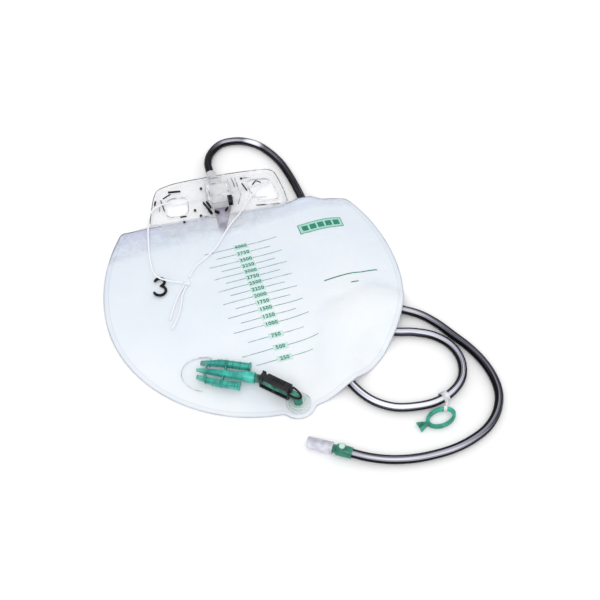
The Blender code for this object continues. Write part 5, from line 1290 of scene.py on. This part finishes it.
print("scale rows", len(scale_rows))

# %% Numerals
NUMERAL_HEIGHT = 4.6 * MM
SIZE_TO_HEIGHT = 1.42
NUMERAL_SPACING = 1.12
NUMERAL_BOLD = 0.22 * MM
FULL_BAG = 4000
VOLUME_STEP = 250


def add_numeral(words, x, y):
    """One number of the scale, laid on the film."""
    bpy.ops.object.select_all(action="DESELECT")
    bpy.ops.object.text_add(location=(x * MM, y * MM, 0))
    item = bpy.context.active_object
    item.data.body = words
    item.data.size = NUMERAL_HEIGHT * SIZE_TO_HEIGHT
    item.data.align_x = "CENTER"
    item.data.align_y = "CENTER"
    item.data.offset = NUMERAL_BOLD
    item.data.space_character = NUMERAL_SPACING
    bpy.ops.object.convert(target="MESH")
    item = bpy.context.active_object
    bpy.ops.object.transform_apply(location=True, rotation=True, scale=True)
    bpy.ops.object.mode_set(mode="EDIT")
    bpy.ops.mesh.select_all(action="SELECT")
    bpy.ops.mesh.remove_doubles(threshold=0.02 * MM)
    bpy.ops.object.mode_set(mode="OBJECT")
    item.data.materials.clear()
    item.data.materials.append(INK)
    item.name = "numeral_" + words
    lay_print(item, INK_LIFT)
    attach(item, "bag")


for index, (y, reach) in enumerate(scale_rows):
    add_numeral(str(FULL_BAG - VOLUME_STEP * index), SCALE_X, y)
print("numerals from", FULL_BAG, "to", FULL_BAG - VOLUME_STEP * (len(scale_rows) - 1))

# %% [markdown]
# ## Plain panel and rule
# Beside the scale the film carries a printed panel and a short rule: a framed bar with plain blocks,
# and a rule with a dash below it, in the same ink.

# %% Panel and rule
PANEL_PALE = material("pale_panel_ink", Base_Color=colour("#A6E3D0"), Roughness=0.5, Alpha=0.8)[0]
PANEL_Y = 58.6
PANEL_LEFT = 74.6
PANEL_RIGHT = 128.0
PANEL_HALF = 6.9
FRAME_WIDTH = 0.8
GROUND_LIFT = 0.2 * MM
PANEL_LIFT = 0.3 * MM
print_bars("panel_ground", [(75.0, 127.6, PANEL_Y, 13.2)], GROUND_LIFT, PANEL_PALE)
print_bars("panel_frame",
           [(PANEL_LEFT, PANEL_RIGHT, PANEL_Y + side * PANEL_HALF, FRAME_WIDTH) for side in (-1, 1)]
           + [(x, x + FRAME_WIDTH, PANEL_Y, 2 * PANEL_HALF)
              for x in (PANEL_LEFT, PANEL_RIGHT - FRAME_WIDTH)], PANEL_LIFT, INK)
print_bars("panel_blocks", [(x, x + 7.4, PANEL_Y, 7.6) for x in (78.6, 88.2, 97.8, 107.4, 117.0)],
           PANEL_LIFT, INK)
print_bars("print_rule", [(78.0, 142.0, -22.4, 1.5), (105.0, 114.0, -36.8, 1.6)], INK_LIFT, INK)
print("panel and rule printed")


for name, far_end, others in (("hanging_cord", "knot", [knot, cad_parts["s_hook"]]),
                              ("cord_tail_long", "bare", []), ("cord_tail_short", "bare", [])):
    line = cord_lines[name]
